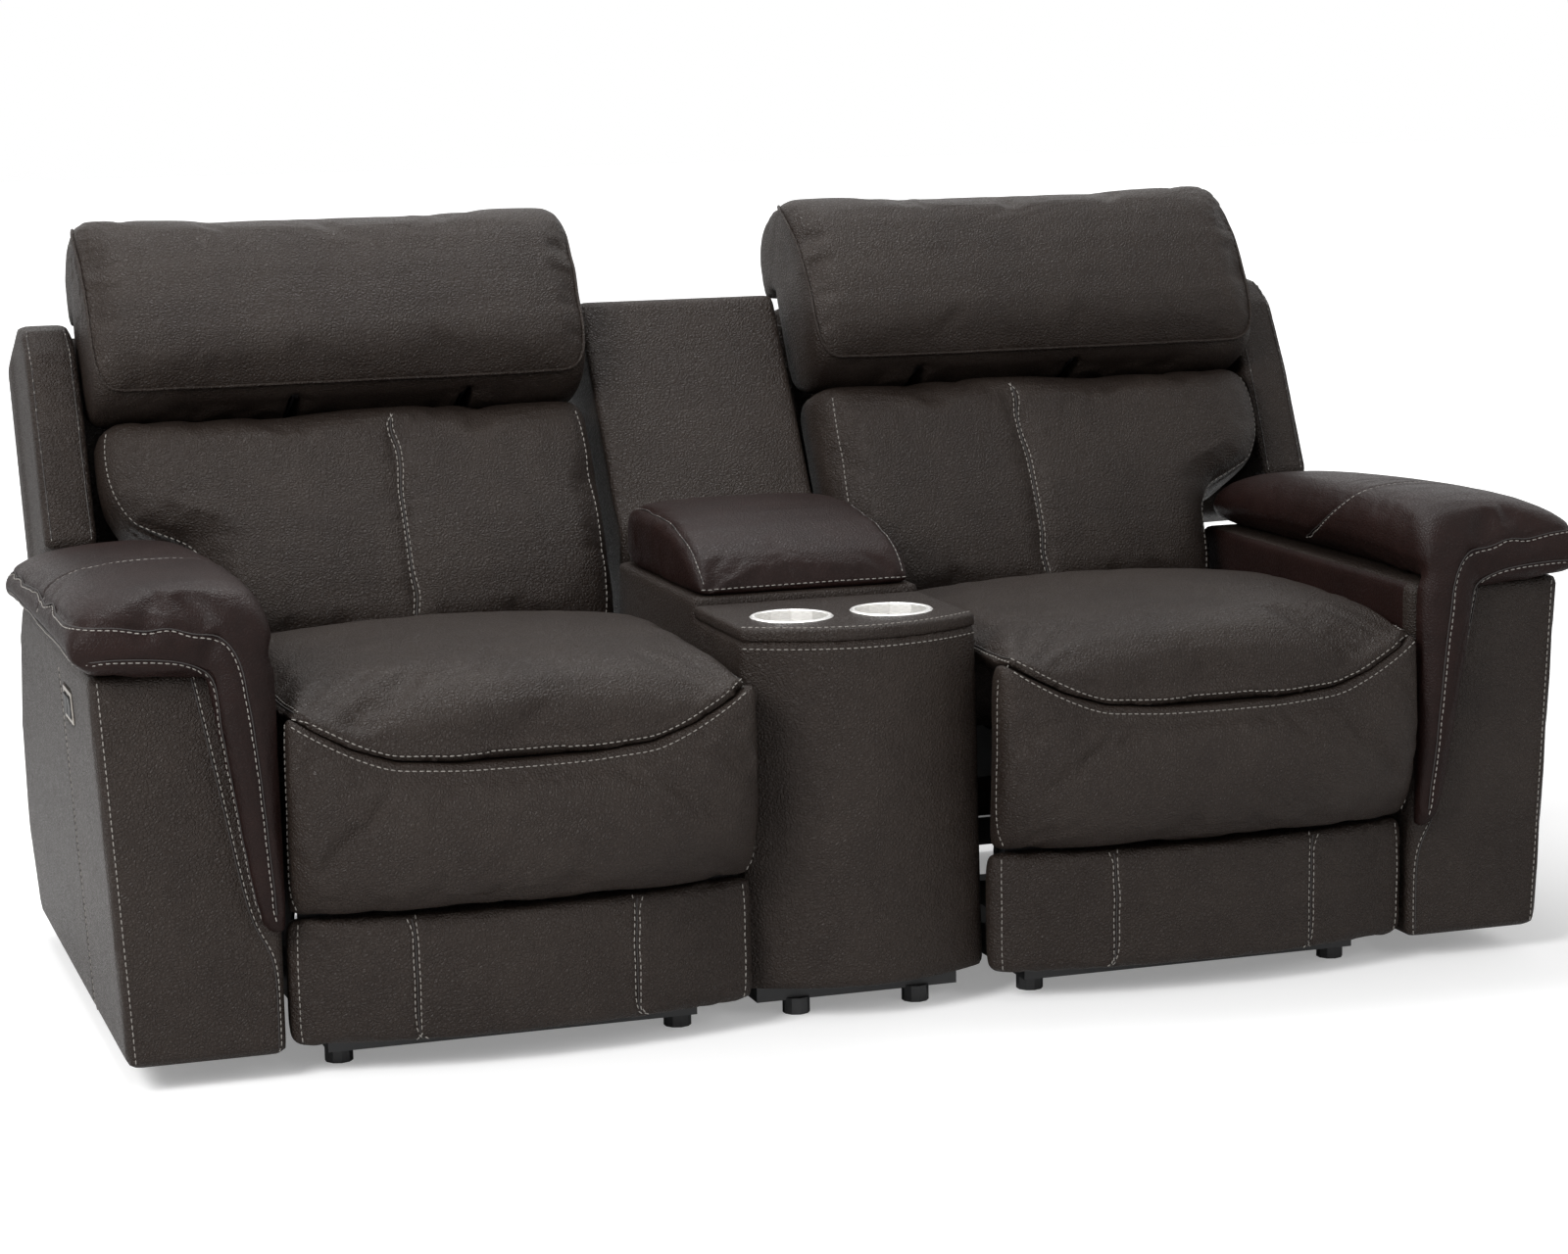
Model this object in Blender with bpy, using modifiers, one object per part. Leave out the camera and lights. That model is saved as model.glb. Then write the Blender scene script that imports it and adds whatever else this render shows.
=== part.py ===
"""Power reclining loveseat: two reclining seats with a storage console between them.

Metres, +Z up. X runs across the loveseat, its front faces -Y, and the floor is z = 0.
The origin is under the middle of the loveseat. Every piece of a seat or an arm is modelled
for the right-hand side, outer side towards +X, and mirrored for the left-hand side.
"""
from math import atan2, cos, pi, radians, sin

import bmesh
import bpy
from mathutils import Matrix, Vector

# Fits
touch_gap = 0.0003          # between two pieces that rest on each other
running_gap = 0.0006        # between a pin and its hole, on the radius
soft_gap = 0.004            # between two upholstered pieces
overrun = 0.02              # how far a cutter passes the face it cuts
sink = 0.012                # what a soft form loses where it is cut flat to rest

# Whole loveseat
seat_width = 0.574
seat_spread = 0.013         # between the console's top edge and a seat
console_width = 0.31
arm_clearance = 0.006       # between a seat and the arm's casing
arm_width = 0.189
seat_middle = console_width / 2 + seat_spread + seat_width / 2
arm_inner = seat_middle + seat_width / 2 + arm_clearance
half_seat = seat_width / 2

# Base
foot_radius = 0.0175
foot_height = 0.018
rail_height = 0.042
rail_width = 0.036
base_front = -0.412
base_rear = 0.380
base_top = foot_height + rail_height
middle_rail = -0.020        # where the middle cross rail runs
apron_top = 0.270
apron_thickness = 0.010
apron_front = 0.345

# Arm
arm_bottom = 0.035
arm_top = 0.507
arm_lean = 0.026            # how far the outer side leans out between bottom and top
arm_front = -0.4625
arm_round = 0.008
pad_thickness = 0.100
pad_overhang = 0.027        # past the casing's outer top edge
pad_nose = 0.040            # past the casing's front
pad_rear = 0.1775
pad_under_round = 0.0035    # how far the pad stands past the arm's inner side
pad_inner = arm_inner - pad_under_round
fall_bottom = 0.188         # lower end of the pad's nose, down the arm's inner front edge
fall_width = 0.094
fall_depth = 0.042
arm_rear_bottom = 0.385     # the arm's rear edge, from the floor up: down, waist and top
arm_waist_y = 0.4225
arm_waist_z = 0.155
arm_shoulder_y = 0.2575
arm_shoulder_z = 0.453

# Seat
seat_frame_bottom = 0.300
seat_frame_height = 0.030
seat_frame_front = -0.342
seat_frame_rear = 0.150
seat_crown = 0.490
seat_side_height = 0.466
seat_rear = 0.058
seat_corner_back = 0.016    # how far the front corners stand back from the middle
seat_nose_foot = -0.345     # where the nose springs from the frame, forward of the springs
seat_front = -0.515
seam_low = 0.381            # the contour seam between the seat and its front drop
seam_high = 0.452
knee_share = 0.60           # of half the seat's width, where the seam bends
frame_rail = 0.028          # width of the seat frame's side rails
frame_bar = 0.024           # of its front and rear bars
hanger_y = -0.228
hanger_lift = 0.001
hanger_height = 0.014
spring_wire = 0.0019
spring_swing = 0.018
spring_drop = 0.006
spring_count = 5
spring_waves = 9

# Back
recline_y = 0.1875
recline_z = 0.300
back_tilt = radians(26.5)
back_height = 0.605
wing_depth = 0.110
wing_width = 0.073
wing_reach = 0.1885          # how far the wing's outer side stands past the seat
back_rear = 0.082
shell_thickness = 0.057
shell_round = 0.009
frame_front = -0.020
lumbar_front = 0.180
headrest_bottom = back_height * 0.694
headrest_top = back_height * 1.193
headrest_front = 0.205
headrest_reach = 0.1105     # past the seat on the outer side
headrest_arm_x = 0.120
headrest_pivot_forward = 0.130
headrest_pivot_up = back_height * 0.745
bracket_front = -0.044
bracket_low = back_height * 0.826
bracket_high = back_height * 0.984
back_bottom = 0.060
lumbar_top = back_height * 0.682
ear_low = 0.240             # under side of the lumbar's ear and of the wing
ear_reach = 0.109
back_post = 0.024           # width of the frame's posts
back_post_foot = -0.016
back_sheet = 0.008
back_sheet_low = 0.040
wing_rail_low = 0.300
wing_rail_height = 0.030
wing_rail_depth = 0.020
wing_rail_reach = 0.070

# Linkage of a footrest, in the plane of its side plates
plate_thickness = 0.004
layer_pitch = plate_thickness + 0.0005
link_plane = 0.220
link_radius = 0.0125
pin_radius = 0.005
torque_tube_radius = 0.008
crank_pivot = Vector((0, -0.320, 0.285))
lower_pivot = Vector((0, -0.290, 0.100))
footrest_pivot = Vector((0, -0.405, 0.310))
parallel_offset = Vector((0, 0.003, 0.060))
brace_pivot = lower_pivot + parallel_offset
upper_pivot = footrest_pivot + parallel_offset
pin_stand = 0.001           # how far a pin stands past its outer plate

# Side plate of the mechanism, from its front shoulder down to its foot and up to the rear hinge
plate_shoulder_y = -0.210
plate_shoulder_z = 0.245
plate_neck_y = -0.150
plate_neck_z = 0.120
plate_foot_front = -0.170
plate_foot_rear = 0.150
plate_foot_height = 0.018
plate_waist_y = 0.130
plate_hip_y = 0.160
plate_hip_z = 0.234
plate_rear_lobe = 0.018
window_front = -0.090
window_rear = 0.070
window_top = 0.200
window_slant = 0.010

# Footrest
board_front = -0.4275
board_thickness = 0.010
board_inset = 0.020
board_below_seam = 0.012
panel_bottom = 0.038
panel_top = 0.200
panel_front = -0.4975
panel_side = -0.4545
drop_front = -0.5395        # the front drop's bulge in the middle of a seat, and at its sides
drop_side = -0.510
drop_foot = -0.524
drop_side_foot = -0.458
drop_taper = 0.955          # width of the drop at its rear, as a share of the front

# Motor of a footrest, round its guide rail
rail_z = 0.160
rail_half_width = 0.0125
rail_half_height = 0.009
rail_front = -0.255
motor_half = 0.040
motor_front = 0.020
motor_rear = 0.110
motor_above = 0.035
motor_below = 0.050
motor_round = 0.008
can_y = 0.065
can_radius = 0.028
can_reach = 0.085
motor_strap = 0.004
nut_y = -0.070
nut_half = 0.018
nut_round = 0.003

# Console
console_flare = 0.008       # each side is wider by this at the bottom
console_bottom = 0.045
console_corner = -0.415
console_bulge = console_width * 0.161
console_rear = 0.148
console_wall = 0.020
console_round = 0.006
deck_top = 0.503
deck_thickness = 0.016
lid_front = -0.2125
lid_rear = 0.1425
lid_bottom = 0.5133
lid_height = 0.087
lid_inset = 0.005           # of its sides from the console's
lid_clearance = 0.0015      # between its board and the bin
lid_axis_y = 0.1495
lid_axis_z = 0.582
cup_spread = console_width * 0.216
cup_y = -0.3495
cup_radius = 0.047
cup_wall = 0.0015
cup_depth = 0.075
cup_flange = 0.0535
cup_flange_height = 0.0022
cup_round = 0.004
cup_room_below = 0.035      # free height under the cups
bin_floor = 0.120
bin_front = -0.175
bin_rear = 0.130
console_base_inset = 0.020
console_base_rear = 0.290
console_base_front = -0.390

# Panel between the backs: its front leans back from the lid and its rear hangs from the top
panel_foot_front = 0.1557
panel_knee_y = 0.1875
panel_knee_z = 0.590
panel_crest_y = 0.360
panel_crest_z = 0.858
panel_tail_y = 0.510
panel_tail_z = 0.765
panel_waist_z = 0.400
panel_inset = 0.010         # of its sides from the console's
panel_round = 0.010

# Switches in the outer side of each arm
switch_y = -0.257
switch_z = 0.4415
switch_length = 0.071
switch_height = 0.039
switch_plate_thickness = 0.0025


def clear_scene():
    for obj in list(bpy.data.objects):
        bpy.data.objects.remove(obj, do_unlink=True)
    for group in list(bpy.data.collections):
        bpy.data.collections.remove(group)


clear_scene()
parts = bpy.data.collections.new("reclining_loveseat")
guides = bpy.data.collections.new("guides")
bpy.context.scene.collection.children.link(parts)
bpy.context.scene.collection.children.link(guides)

# Colour, roughness, metallic
looks = {
    "leather": ((0.045, 0.040, 0.036), 0.50, 0.0),
    "pad_leather": ((0.026, 0.013, 0.011), 0.40, 0.0),
    "steel": ((0.020, 0.020, 0.021), 0.45, 0.9),
    "wood": ((0.45, 0.30, 0.17), 0.65, 0.0),
    "plastic": ((0.012, 0.012, 0.012), 0.50, 0.0),
    "stainless": ((0.62, 0.61, 0.58), 0.28, 1.0),
    "switch_metal": ((0.33, 0.31, 0.28), 0.35, 1.0),
}


# Basic tools

def solid(mesh):
    """Put a mesh in the scene as an object that still has to be finished."""
    obj = bpy.data.objects.new("work", mesh)
    parts.objects.link(obj)
    return obj


def from_bmesh(bm):
    bmesh.ops.recalc_face_normals(bm, faces=bm.faces)
    mesh = bpy.data.meshes.new("work")
    bm.to_mesh(mesh)
    bm.free()
    return solid(mesh)


def bake(obj):
    """Give an object the mesh that its modifiers make, as loose ends welded."""
    bpy.context.view_layer.update()
    graph = bpy.context.evaluated_depsgraph_get()
    mesh = bpy.data.meshes.new_from_object(obj.evaluated_get(graph))
    bm = bmesh.new()
    bm.from_mesh(mesh)
    bmesh.ops.remove_doubles(bm, verts=bm.verts, dist=touch_gap / 30)
    bm.to_mesh(mesh)
    bm.free()
    obj.modifiers.clear()
    obj.data = mesh
    return obj


def combine(obj, other, operation):
    modifier = obj.modifiers.new(operation.lower(), "BOOLEAN")
    modifier.operation = operation
    modifier.object = other
    modifier.solver = "EXACT"
    bake(obj)
    bpy.data.objects.remove(other)
    return obj


def union(obj, *others):
    for other in others:
        combine(obj, other, "UNION")
    return obj


def cut(obj, *others):
    for other in others:
        combine(obj, other, "DIFFERENCE")
    return obj


def bevel(obj, width, segments=2, angle=radians(30)):
    modifier = obj.modifiers.new("bevel", "BEVEL")
    modifier.width = width
    modifier.segments = segments
    modifier.limit_method = "ANGLE"
    modifier.angle_limit = angle
    return bake(obj)


def facet(obj):
    """Split all faces into triangles, so that twisted ones cut cleanly."""
    bm = bmesh.new()
    bm.from_mesh(obj.data)
    bmesh.ops.triangulate(bm, faces=bm.faces)
    bm.to_mesh(obj.data)
    bm.free()
    return obj


def box(low, high):
    bm = bmesh.new()
    bmesh.ops.create_cube(bm, size=1)
    low, high = Vector(low), Vector(high)
    size = high - low
    bmesh.ops.scale(bm, vec=size, verts=bm.verts)
    bmesh.ops.translate(bm, vec=(low + high) / 2, verts=bm.verts)
    return from_bmesh(bm)


def rod(start, end, radius, sides=10):
    start, end = Vector(start), Vector(end)
    way = end - start
    turn = way.to_track_quat("Z", "Y").to_matrix().to_4x4()
    bm = bmesh.new()
    bmesh.ops.create_cone(bm, cap_ends=True, segments=sides, radius1=radius, radius2=radius,
                          depth=way.length, matrix=Matrix.Translation((start + end) / 2) @ turn)
    return from_bmesh(bm)


planes = {
    "x": Matrix(((0, 0, 1), (1, 0, 0), (0, 1, 0))),     # outline in (y, z)
    "y": Matrix(((1, 0, 0), (0, 0, -1), (0, 1, 0))),    # outline in (x, z)
    "z": Matrix.Identity(3),                            # outline in (x, y)
}


def plate(outline, axis, low, high, holes=()):
    """A flat outline with holes, extruded along an axis from low to high."""
    curve = bpy.data.curves.new("outline", "CURVE")
    curve.dimensions = "2D"
    curve.fill_mode = "BOTH"
    curve.extrude = (high - low) / 2
    for loop in (outline, *holes):
        spline = curve.splines.new("POLY")
        spline.points.add(len(loop) - 1)
        for point, (a, b) in zip(spline.points, loop):
            point.co = (a, b, 0, 1)
        spline.use_cyclic_u = True
    flat = bpy.data.objects.new("outline", curve)
    parts.objects.link(flat)
    flat.matrix_world = planes[axis].to_4x4()
    middle = Vector([(low + high) / 2 if name == axis else 0 for name in "xyz"])
    bpy.context.view_layer.update()
    graph = bpy.context.evaluated_depsgraph_get()
    mesh = bpy.data.meshes.new_from_object(flat.evaluated_get(graph))
    mesh.transform(Matrix.Translation(middle) @ flat.matrix_world)
    bpy.data.objects.remove(flat)
    bm = bmesh.new()
    bm.from_mesh(mesh)
    bmesh.ops.remove_doubles(bm, verts=bm.verts, dist=touch_gap / 30)
    return from_bmesh(bm)


def circle(centre, radius, count=10):
    return [(centre[0] + radius * cos(2 * pi * k / count), centre[1] + radius * sin(2 * pi * k / count))
            for k in range(count)]


def around(centres, radius):
    """The outline of a strap that runs round equal circles: their convex hull."""
    points = sorted({p for centre in centres for p in circle(centre, radius)})
    hull = []
    for run in (points, points[::-1]):
        chain = []
        for p in run:
            while len(chain) > 1 and turns_right(chain[-2], chain[-1], p):
                chain.pop()
            chain.append(p)
        hull += chain[:-1]
    return hull


def turns_right(a, b, c):
    return (b[0] - a[0]) * (c[1] - a[1]) - (b[1] - a[1]) * (c[0] - a[0]) <= 0


def loft(rings, levels=1):
    """A closed skin over rings of equal count, smoothed as an upholstered form is."""
    bm = bmesh.new()
    loops = [[bm.verts.new(p) for p in ring] for ring in rings]
    count = len(rings[0])
    for lower, upper in zip(loops, loops[1:]):
        for k in range(count):
            bm.faces.new((lower[k], lower[(k + 1) % count], upper[(k + 1) % count], upper[k]))
    bm.faces.new(loops[0])
    bm.faces.new(loops[-1][::-1])
    obj = from_bmesh(bm)
    if levels:
        smooth = obj.modifiers.new("smooth", "SUBSURF")
        smooth.levels = levels
        smooth.render_levels = levels
        bake(obj)
    return obj


def rest_flat(obj, axis, level, keep):
    """Cut a soft form flat where it rests; keep is the side of the level that stays."""
    far = 100 * overrun
    low, high = [-far] * 3, [far] * 3
    if keep > 0:
        high["xyz".index(axis)] = level
    else:
        low["xyz".index(axis)] = level
    return cut(obj, box(low, high))


def empty(name, location, parent=None, turn_x=0, turn_y=0):
    place = bpy.data.objects.new(name, None)
    guides.objects.link(place)
    place.parent = parent
    place.location = location
    place.rotation_euler = (turn_x, turn_y, 0)
    return place


def finish(obj, name, look, side=1, place=None, pivot=(0, 0, 0)):
    """Name a piece, mirror it for the left side, move its origin and give it its material."""
    obj.data.transform(Matrix.Translation(-Vector(pivot)))
    if side < 0:
        obj.data.transform(Matrix.Diagonal((-1, 1, 1, 1)))
        obj.data.flip_normals()
    obj.name = name
    obj.data.name = name
    obj.parent = place
    colour, rough, metal = looks[look]
    surface = bpy.data.materials.new(name)
    surface.use_nodes = True
    shader = surface.node_tree.nodes["Principled BSDF"]
    shader.inputs["Base Color"].default_value = (*colour, 1)
    shader.inputs["Roughness"].default_value = rough
    shader.inputs["Metallic"].default_value = metal
    surface.diffuse_color = (*colour, 1)
    obj.data.materials.clear()
    obj.data.materials.append(surface)
    obj.data.shade_smooth()
    obj.data.set_sharp_from_angle(angle=radians(35))
    return obj


def mix(a, b, share):
    return a + (b - a) * share


# Base frames and arms

def base_frame(name, side):
    """Ladder of steel channel on four feet, with its cross rails reaching arm and console."""
    half = rail_width / 2
    rail = link_plane - plate_thickness
    edge = rail + half
    outer = arm_inner - seat_middle - touch_gap
    inner = seat_middle - console_width / 2 - console_flare - touch_gap
    outline = [(-edge, base_front), (edge, base_front), (edge, base_rear), (-edge, base_rear)]
    bays = [(base_front + rail_width, middle_rail - half), (middle_rail + half, base_rear - rail_width)]
    openings = [[(-edge + rail_width, low), (edge - rail_width, low), (edge - rail_width, high),
                 (-edge + rail_width, high)] for low, high in bays]
    frame = plate(outline, "z", foot_height, base_top, openings)
    lug = half * 0.8
    step = rail_height / 20
    for y in (middle_rail, base_rear - half):
        for near, far in ((-inner, -edge + half), (edge - half, outer)):
            union(frame, box((near, y - lug, foot_height + step), (far, y + lug, base_top - step)))
    for x in (-rail, rail):
        for y in (base_front + foot_radius * 1.6, base_rear - foot_radius * 1.6):
            union(frame, rod((x, y, 0), (x, y, foot_height + foot_radius / 4), foot_radius))
    return finish(frame, name, "steel", side, empty(name + "_place", (side * seat_middle, 0, 0)))


def rear_apron(name, side):
    """Covered board that closes the back below the hinge; it stands on the base's rear rail."""
    reach_out = arm_inner - touch_gap
    reach_in = console_width / 2
    apron = box((reach_in, apron_front, base_top + touch_gap),
                (reach_out, apron_front + apron_thickness, apron_top))
    bevel(apron, apron_thickness / 4, 1)
    return finish(apron, name, "leather", side)


def arm_section():
    outer = arm_inner + arm_width
    return [(arm_inner, arm_bottom), (outer, arm_bottom), (outer + arm_lean, arm_top), (arm_inner, arm_top)]


def arm_profile():
    """Side view of the casing: its rear leans forward, clear of the wing as the back reclines."""
    foot = base_rear - rail_width / 4
    neck_z = mix(arm_waist_z, arm_shoulder_z, 0.52)
    neck_y = mix(arm_waist_y, arm_shoulder_y, 0.333)
    return [(arm_front, arm_bottom), (foot, arm_bottom), (arm_rear_bottom, base_top),
            (arm_waist_y, arm_waist_z), (neck_y, neck_z), (arm_shoulder_y, arm_shoulder_z),
            (mix(arm_shoulder_y, pad_rear, 0.656), mix(arm_shoulder_z, arm_top, 0.722)),
            (pad_rear + soft_gap * 0.6, arm_top), (arm_front, arm_top)]


def switch_turn():
    return atan2(arm_lean, arm_top - arm_bottom)


def switch_face():
    """The point on the arm's leaning outer side behind the middle of the switch plate."""
    share = (switch_z - arm_bottom) / (arm_top - arm_bottom)
    return Vector((arm_inner + arm_width + arm_lean * share, switch_y, switch_z))


def arm_casing(name, side):
    length = base_rear - arm_front
    casing = plate(arm_section(), "y", arm_front, arm_front + length + overrun * 2)
    combine(casing, plate(arm_profile(), "x", arm_inner - overrun, arm_inner + arm_width + arm_lean + overrun),
            "INTERSECT")
    bevel(casing, arm_round)
    pocket = box((-switch_box_depth - running_gap, -switch_box_length / 2 - running_gap,
                  -switch_box_height / 2 - running_gap),
                 (overrun, switch_box_length / 2 + running_gap, switch_box_height / 2 + running_gap))
    pocket.data.transform(Matrix.Translation(switch_face()) @ Matrix.Rotation(switch_turn(), 4, "Y"))
    cut(casing, pocket)
    return finish(casing, name, "leather", side)


def arm_pad(name, side):
    """Pillow top of the arm: its nose rolls over the front and runs down the inner edge."""
    under = arm_top + touch_gap
    outer = arm_inner + arm_width + arm_lean + pad_overhang
    width = outer - pad_inner
    nose = arm_front - pad_nose
    length = pad_rear - nose

    def ring(y, rise):
        """Section across the arm: shares of the width and of the height of the pad."""
        top = pad_thickness * rise
        shares = ((0, 0), (0.45, 0), (0.90, 0), (0.985, 0.12), (1.005, 0.40), (0.96, 0.68), (0.80, 0.90),
                  (0.50, 1.0), (0.18, 1.0), (0, 0.76))
        return [(pad_inner + width * a, y, under + top * b) for a, b in shares]

    body_shares = ((0, 0.48), (0.02, 0.76), (0.08, 0.96), (0.25, 1.01), (0.50, 0.94), (0.75, 0.83),
                   (0.90, 0.74), (0.97, 0.56), (1, 0.32))
    body = loft([ring(nose + length * a, b) for a, b in body_shares])

    fall_top = under + pad_thickness * 0.35
    rear = arm_front - touch_gap

    def slice_of_fall(z, wide, deep):
        left = pad_inner
        section = ((0, 0), (0, 0.62), (0.14, 0.96), (0.50, 1.0), (0.86, 0.86), (1, 0.45), (1, 0))
        return [(left + wide * a, rear - deep * b, z) for a, b in section]

    fall_shares = ((0, 0.14, 0.30), (0.02, 0.28, 0.58), (0.09, 0.42, 0.74), (0.50, 0.68, 0.88),
                   (0.80, 0.88, 0.95), (1, 1, 1))
    fall = loft([slice_of_fall(mix(fall_bottom, fall_top, a), fall_width * b, fall_depth * c)
                 for a, b, c in fall_shares])
    union(body, fall)
    cut(body, box((pad_inner - overrun, rear, 0), (outer + overrun, pad_rear, under)))
    return finish(body, name, "pad_leather", side)


switch_box_depth = 0.018
switch_box_length = 0.062
switch_box_height = 0.033
rocker_width = 0.0256
rocker_height = 0.024
rocker_depth = 0.011
rocker_stand = 0.0045
rocker_pivot_depth = 0.006
rocker_pin = 0.002
rocker_spread = 0.015
cell_wall = 0.0015
cell_gap = 0.0007


def switch_plate(name, side, place):
    """Cover plate with the switch box behind it, open in front in two cells."""
    body = box((touch_gap, -switch_length / 2, -switch_height / 2),
               (switch_plate_thickness, switch_length / 2, switch_height / 2))
    bevel(body, switch_plate_thickness / 4, 1)
    back = box((-switch_box_depth, -switch_box_length / 2, -switch_box_height / 2),
               (switch_plate_thickness / 2, switch_box_length / 2, switch_box_height / 2))
    union(body, back)
    half = rocker_width / 2 + cell_gap
    for s in (-1, 1):
        cut(body, box((-switch_box_depth + cell_wall, s * rocker_spread - half, -switch_box_height / 2 + cell_wall),
                      (overrun, s * rocker_spread + half, switch_box_height / 2 - cell_wall)))
    return finish(body, name, "switch_metal", side, place)


def rocker(name, side, place, offset):
    """Rocker button on two stub pins, centred on its pivot."""
    half_height = rocker_height / 2
    outline = [(-rocker_depth + rocker_pivot_depth, -half_height * 0.6), (rocker_stand * 0.8, -half_height),
               (rocker_stand + rocker_pivot_depth, -half_height), (rocker_stand * 0.8 + rocker_pivot_depth, 0),
               (rocker_stand + rocker_pivot_depth, half_height), (rocker_stand * 0.8, half_height),
               (-rocker_depth + rocker_pivot_depth, half_height * 0.6)]
    button = plate(outline, "y", -rocker_width / 2, rocker_width / 2)
    pin = rod((0, -rocker_width / 2 - touch_gap, 0), (0, rocker_width / 2 + touch_gap, 0), rocker_pin)
    union(button, pin)
    spot = empty(name + "_pivot", (-side * rocker_pivot_depth, offset, 0), place)
    return finish(button, name, "plastic", side, spot)


# Console

def console_outline(half_width, rear):
    """Plan of the console, its front bowed, from the left rear corner round to the right."""
    count = 12
    front = []
    for k in range(count + 1):
        share = 2 * k / count - 1
        front.append((half_width * share, console_corner - console_bulge * (1 - share * share)))
    return [(-half_width, rear), *front, (half_width, rear)]


def console_base(name):
    """Plinth under the console on four feet, with stubs that meet the bases of the seats."""
    half = console_width / 2 - console_base_inset
    low = foot_height
    high = console_bottom - touch_gap
    foot_x = half - foot_radius * 3.1
    stub = half + console_base_inset * 0.6
    plinth = box((-half, console_base_front, low), (half, console_base_rear, high))
    for x in (-foot_x, foot_x):
        for y in (console_base_front + foot_radius * 0.4, console_base_rear - foot_radius * 2.3):
            union(plinth, rod((x, y, 0), (x, y, low + touch_gap * 10), foot_radius))
    for y in (middle_rail, console_base_rear - rail_width / 2):
        union(plinth, box((-stub, y - rail_width / 2, low), (stub, y + rail_width / 2, high)))
    return finish(plinth, name, "steel")


def console_casing(name):
    """Box of the console: a storage bin behind, and room for the two cups in front."""
    half = console_width / 2
    rim = lid_bottom - touch_gap * 2.5
    top_ring = [(x, y, rim) for x, y in console_outline(half, console_rear)]
    bottom_ring = [(x, y, console_bottom) for x, y in console_outline(half + console_flare, console_rear)]
    casing = facet(bevel(loft([bottom_ring, top_ring], 0), console_round))
    step = lid_front - touch_gap
    under_deck = deck_top - deck_thickness - touch_gap
    cut(casing, box((-half - overrun, console_corner - console_bulge - overrun, under_deck),
                    (half + overrun, step, rim + overrun)))
    inside = half - console_wall * 1.25
    cup_front = console_corner + console_wall / 2
    cut(casing, box((-inside, cup_front, deck_top - cup_depth - cup_room_below),
                    (inside, step - console_wall * 0.6, rim)))
    cut(casing, box((-inside, bin_front, bin_floor), (inside, bin_rear, rim + overrun)))
    return finish(casing, name, "leather")


def console_deck(name):
    half = console_width / 2
    holes = [circle((s * cup_spread, cup_y), cup_radius + running_gap, 20) for s in (-1, 1)]
    outline = console_outline(half, lid_front - touch_gap * 2)
    deck = plate(outline, "z", deck_top - deck_thickness, deck_top, holes)
    return finish(deck, name, "leather")


def cup_holder(name, side):
    """Spun cup with a rolled flange, from a profile turned round the cup's axis."""
    top = deck_top + touch_gap
    inner = cup_radius - cup_wall
    floor = top - cup_depth
    lip = top + cup_flange_height
    profile = [(0, floor + cup_wall), (inner - cup_round, floor + cup_wall), (inner, floor + cup_round * 1.5),
               (inner, top + cup_flange_height * 0.6), (inner + cup_round / 2, lip),
               (cup_flange - cup_round / 2, lip), (cup_flange, top + cup_flange_height * 0.4),
               (cup_flange - cup_wall / 3, top), (cup_radius, top), (cup_radius, floor + cup_round * 1.25),
               (cup_radius - cup_round * 1.25, floor), (0, floor)]
    mesh = bpy.data.meshes.new("profile")
    mesh.from_pydata([(r, 0, z) for r, z in profile], [(k, k + 1) for k in range(len(profile) - 1)], [])
    cup = solid(mesh)
    turn = cup.modifiers.new("turn", "SCREW")
    turn.steps = 20
    turn.render_steps = 20
    turn.use_merge_vertices = True
    turn.merge_threshold = touch_gap / 10
    bake(cup)
    bm = bmesh.new()
    bm.from_mesh(cup.data)
    bmesh.ops.remove_doubles(bm, verts=bm.verts, dist=touch_gap / 10)
    bmesh.ops.recalc_face_normals(bm, faces=bm.faces)
    bm.to_mesh(cup.data)
    bm.free()
    return finish(cup, name, "stainless", 1, empty(name + "_place", (side * cup_spread, cup_y, 0)))


def console_back(name):
    """Upholstered panel between the two backs, standing behind the console."""
    half = console_width / 2 - panel_inset
    rise = panel_round
    outline = [(panel_foot_front, console_bottom), (panel_foot_front, panel_knee_z - rise * 3.5),
               (panel_knee_y, panel_knee_z), (panel_crest_y - rise * 1.25, panel_crest_z - rise * 0.8),
               (panel_crest_y, panel_crest_z), (panel_crest_y + rise * 2, panel_crest_z - rise * 0.6),
               (panel_tail_y - rise, panel_tail_z + rise * 1.3), (panel_tail_y, panel_tail_z),
               (panel_tail_y - rise * 0.2, panel_tail_z - rise * 1.5), (console_base_rear, panel_waist_z),
               (console_base_rear, console_bottom)]
    panel = plate(outline, "x", -half, half)
    bevel(panel, panel_round)
    return finish(panel, name, "leather")


def lid_pad(name, place, pivot):
    """Crowned pad of the lid, low in front and full behind."""
    half = console_width / 2 - lid_inset
    length = lid_rear - lid_front
    middle = (lid_front + lid_rear) / 2
    shares = ((0, 0), (0.04, 0), (0.96, 0), (1, 0), (1, 0.84), (0.96, 0.96), (0.60, 1.02), (0.28, 0.84),
              (0.08, 0.48), (0, 0.12))

    def ring(x, shrink, drop):
        return [(x, middle + (a - 0.5) * length * shrink, lid_bottom + lid_height * b * drop)
                for a, b in shares]

    stations = ((-1, 0.98, 0.86), (-0.95, 0.995, 0.96), (-0.4, 1, 1.03), (0.4, 1, 1.03), (0.95, 0.995, 0.96),
                (1, 0.98, 0.86))
    pad = loft([ring(half * a, b, c) for a, b, c in stations])
    return finish(pad, name, "pad_leather", 1, place, pivot)


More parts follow.
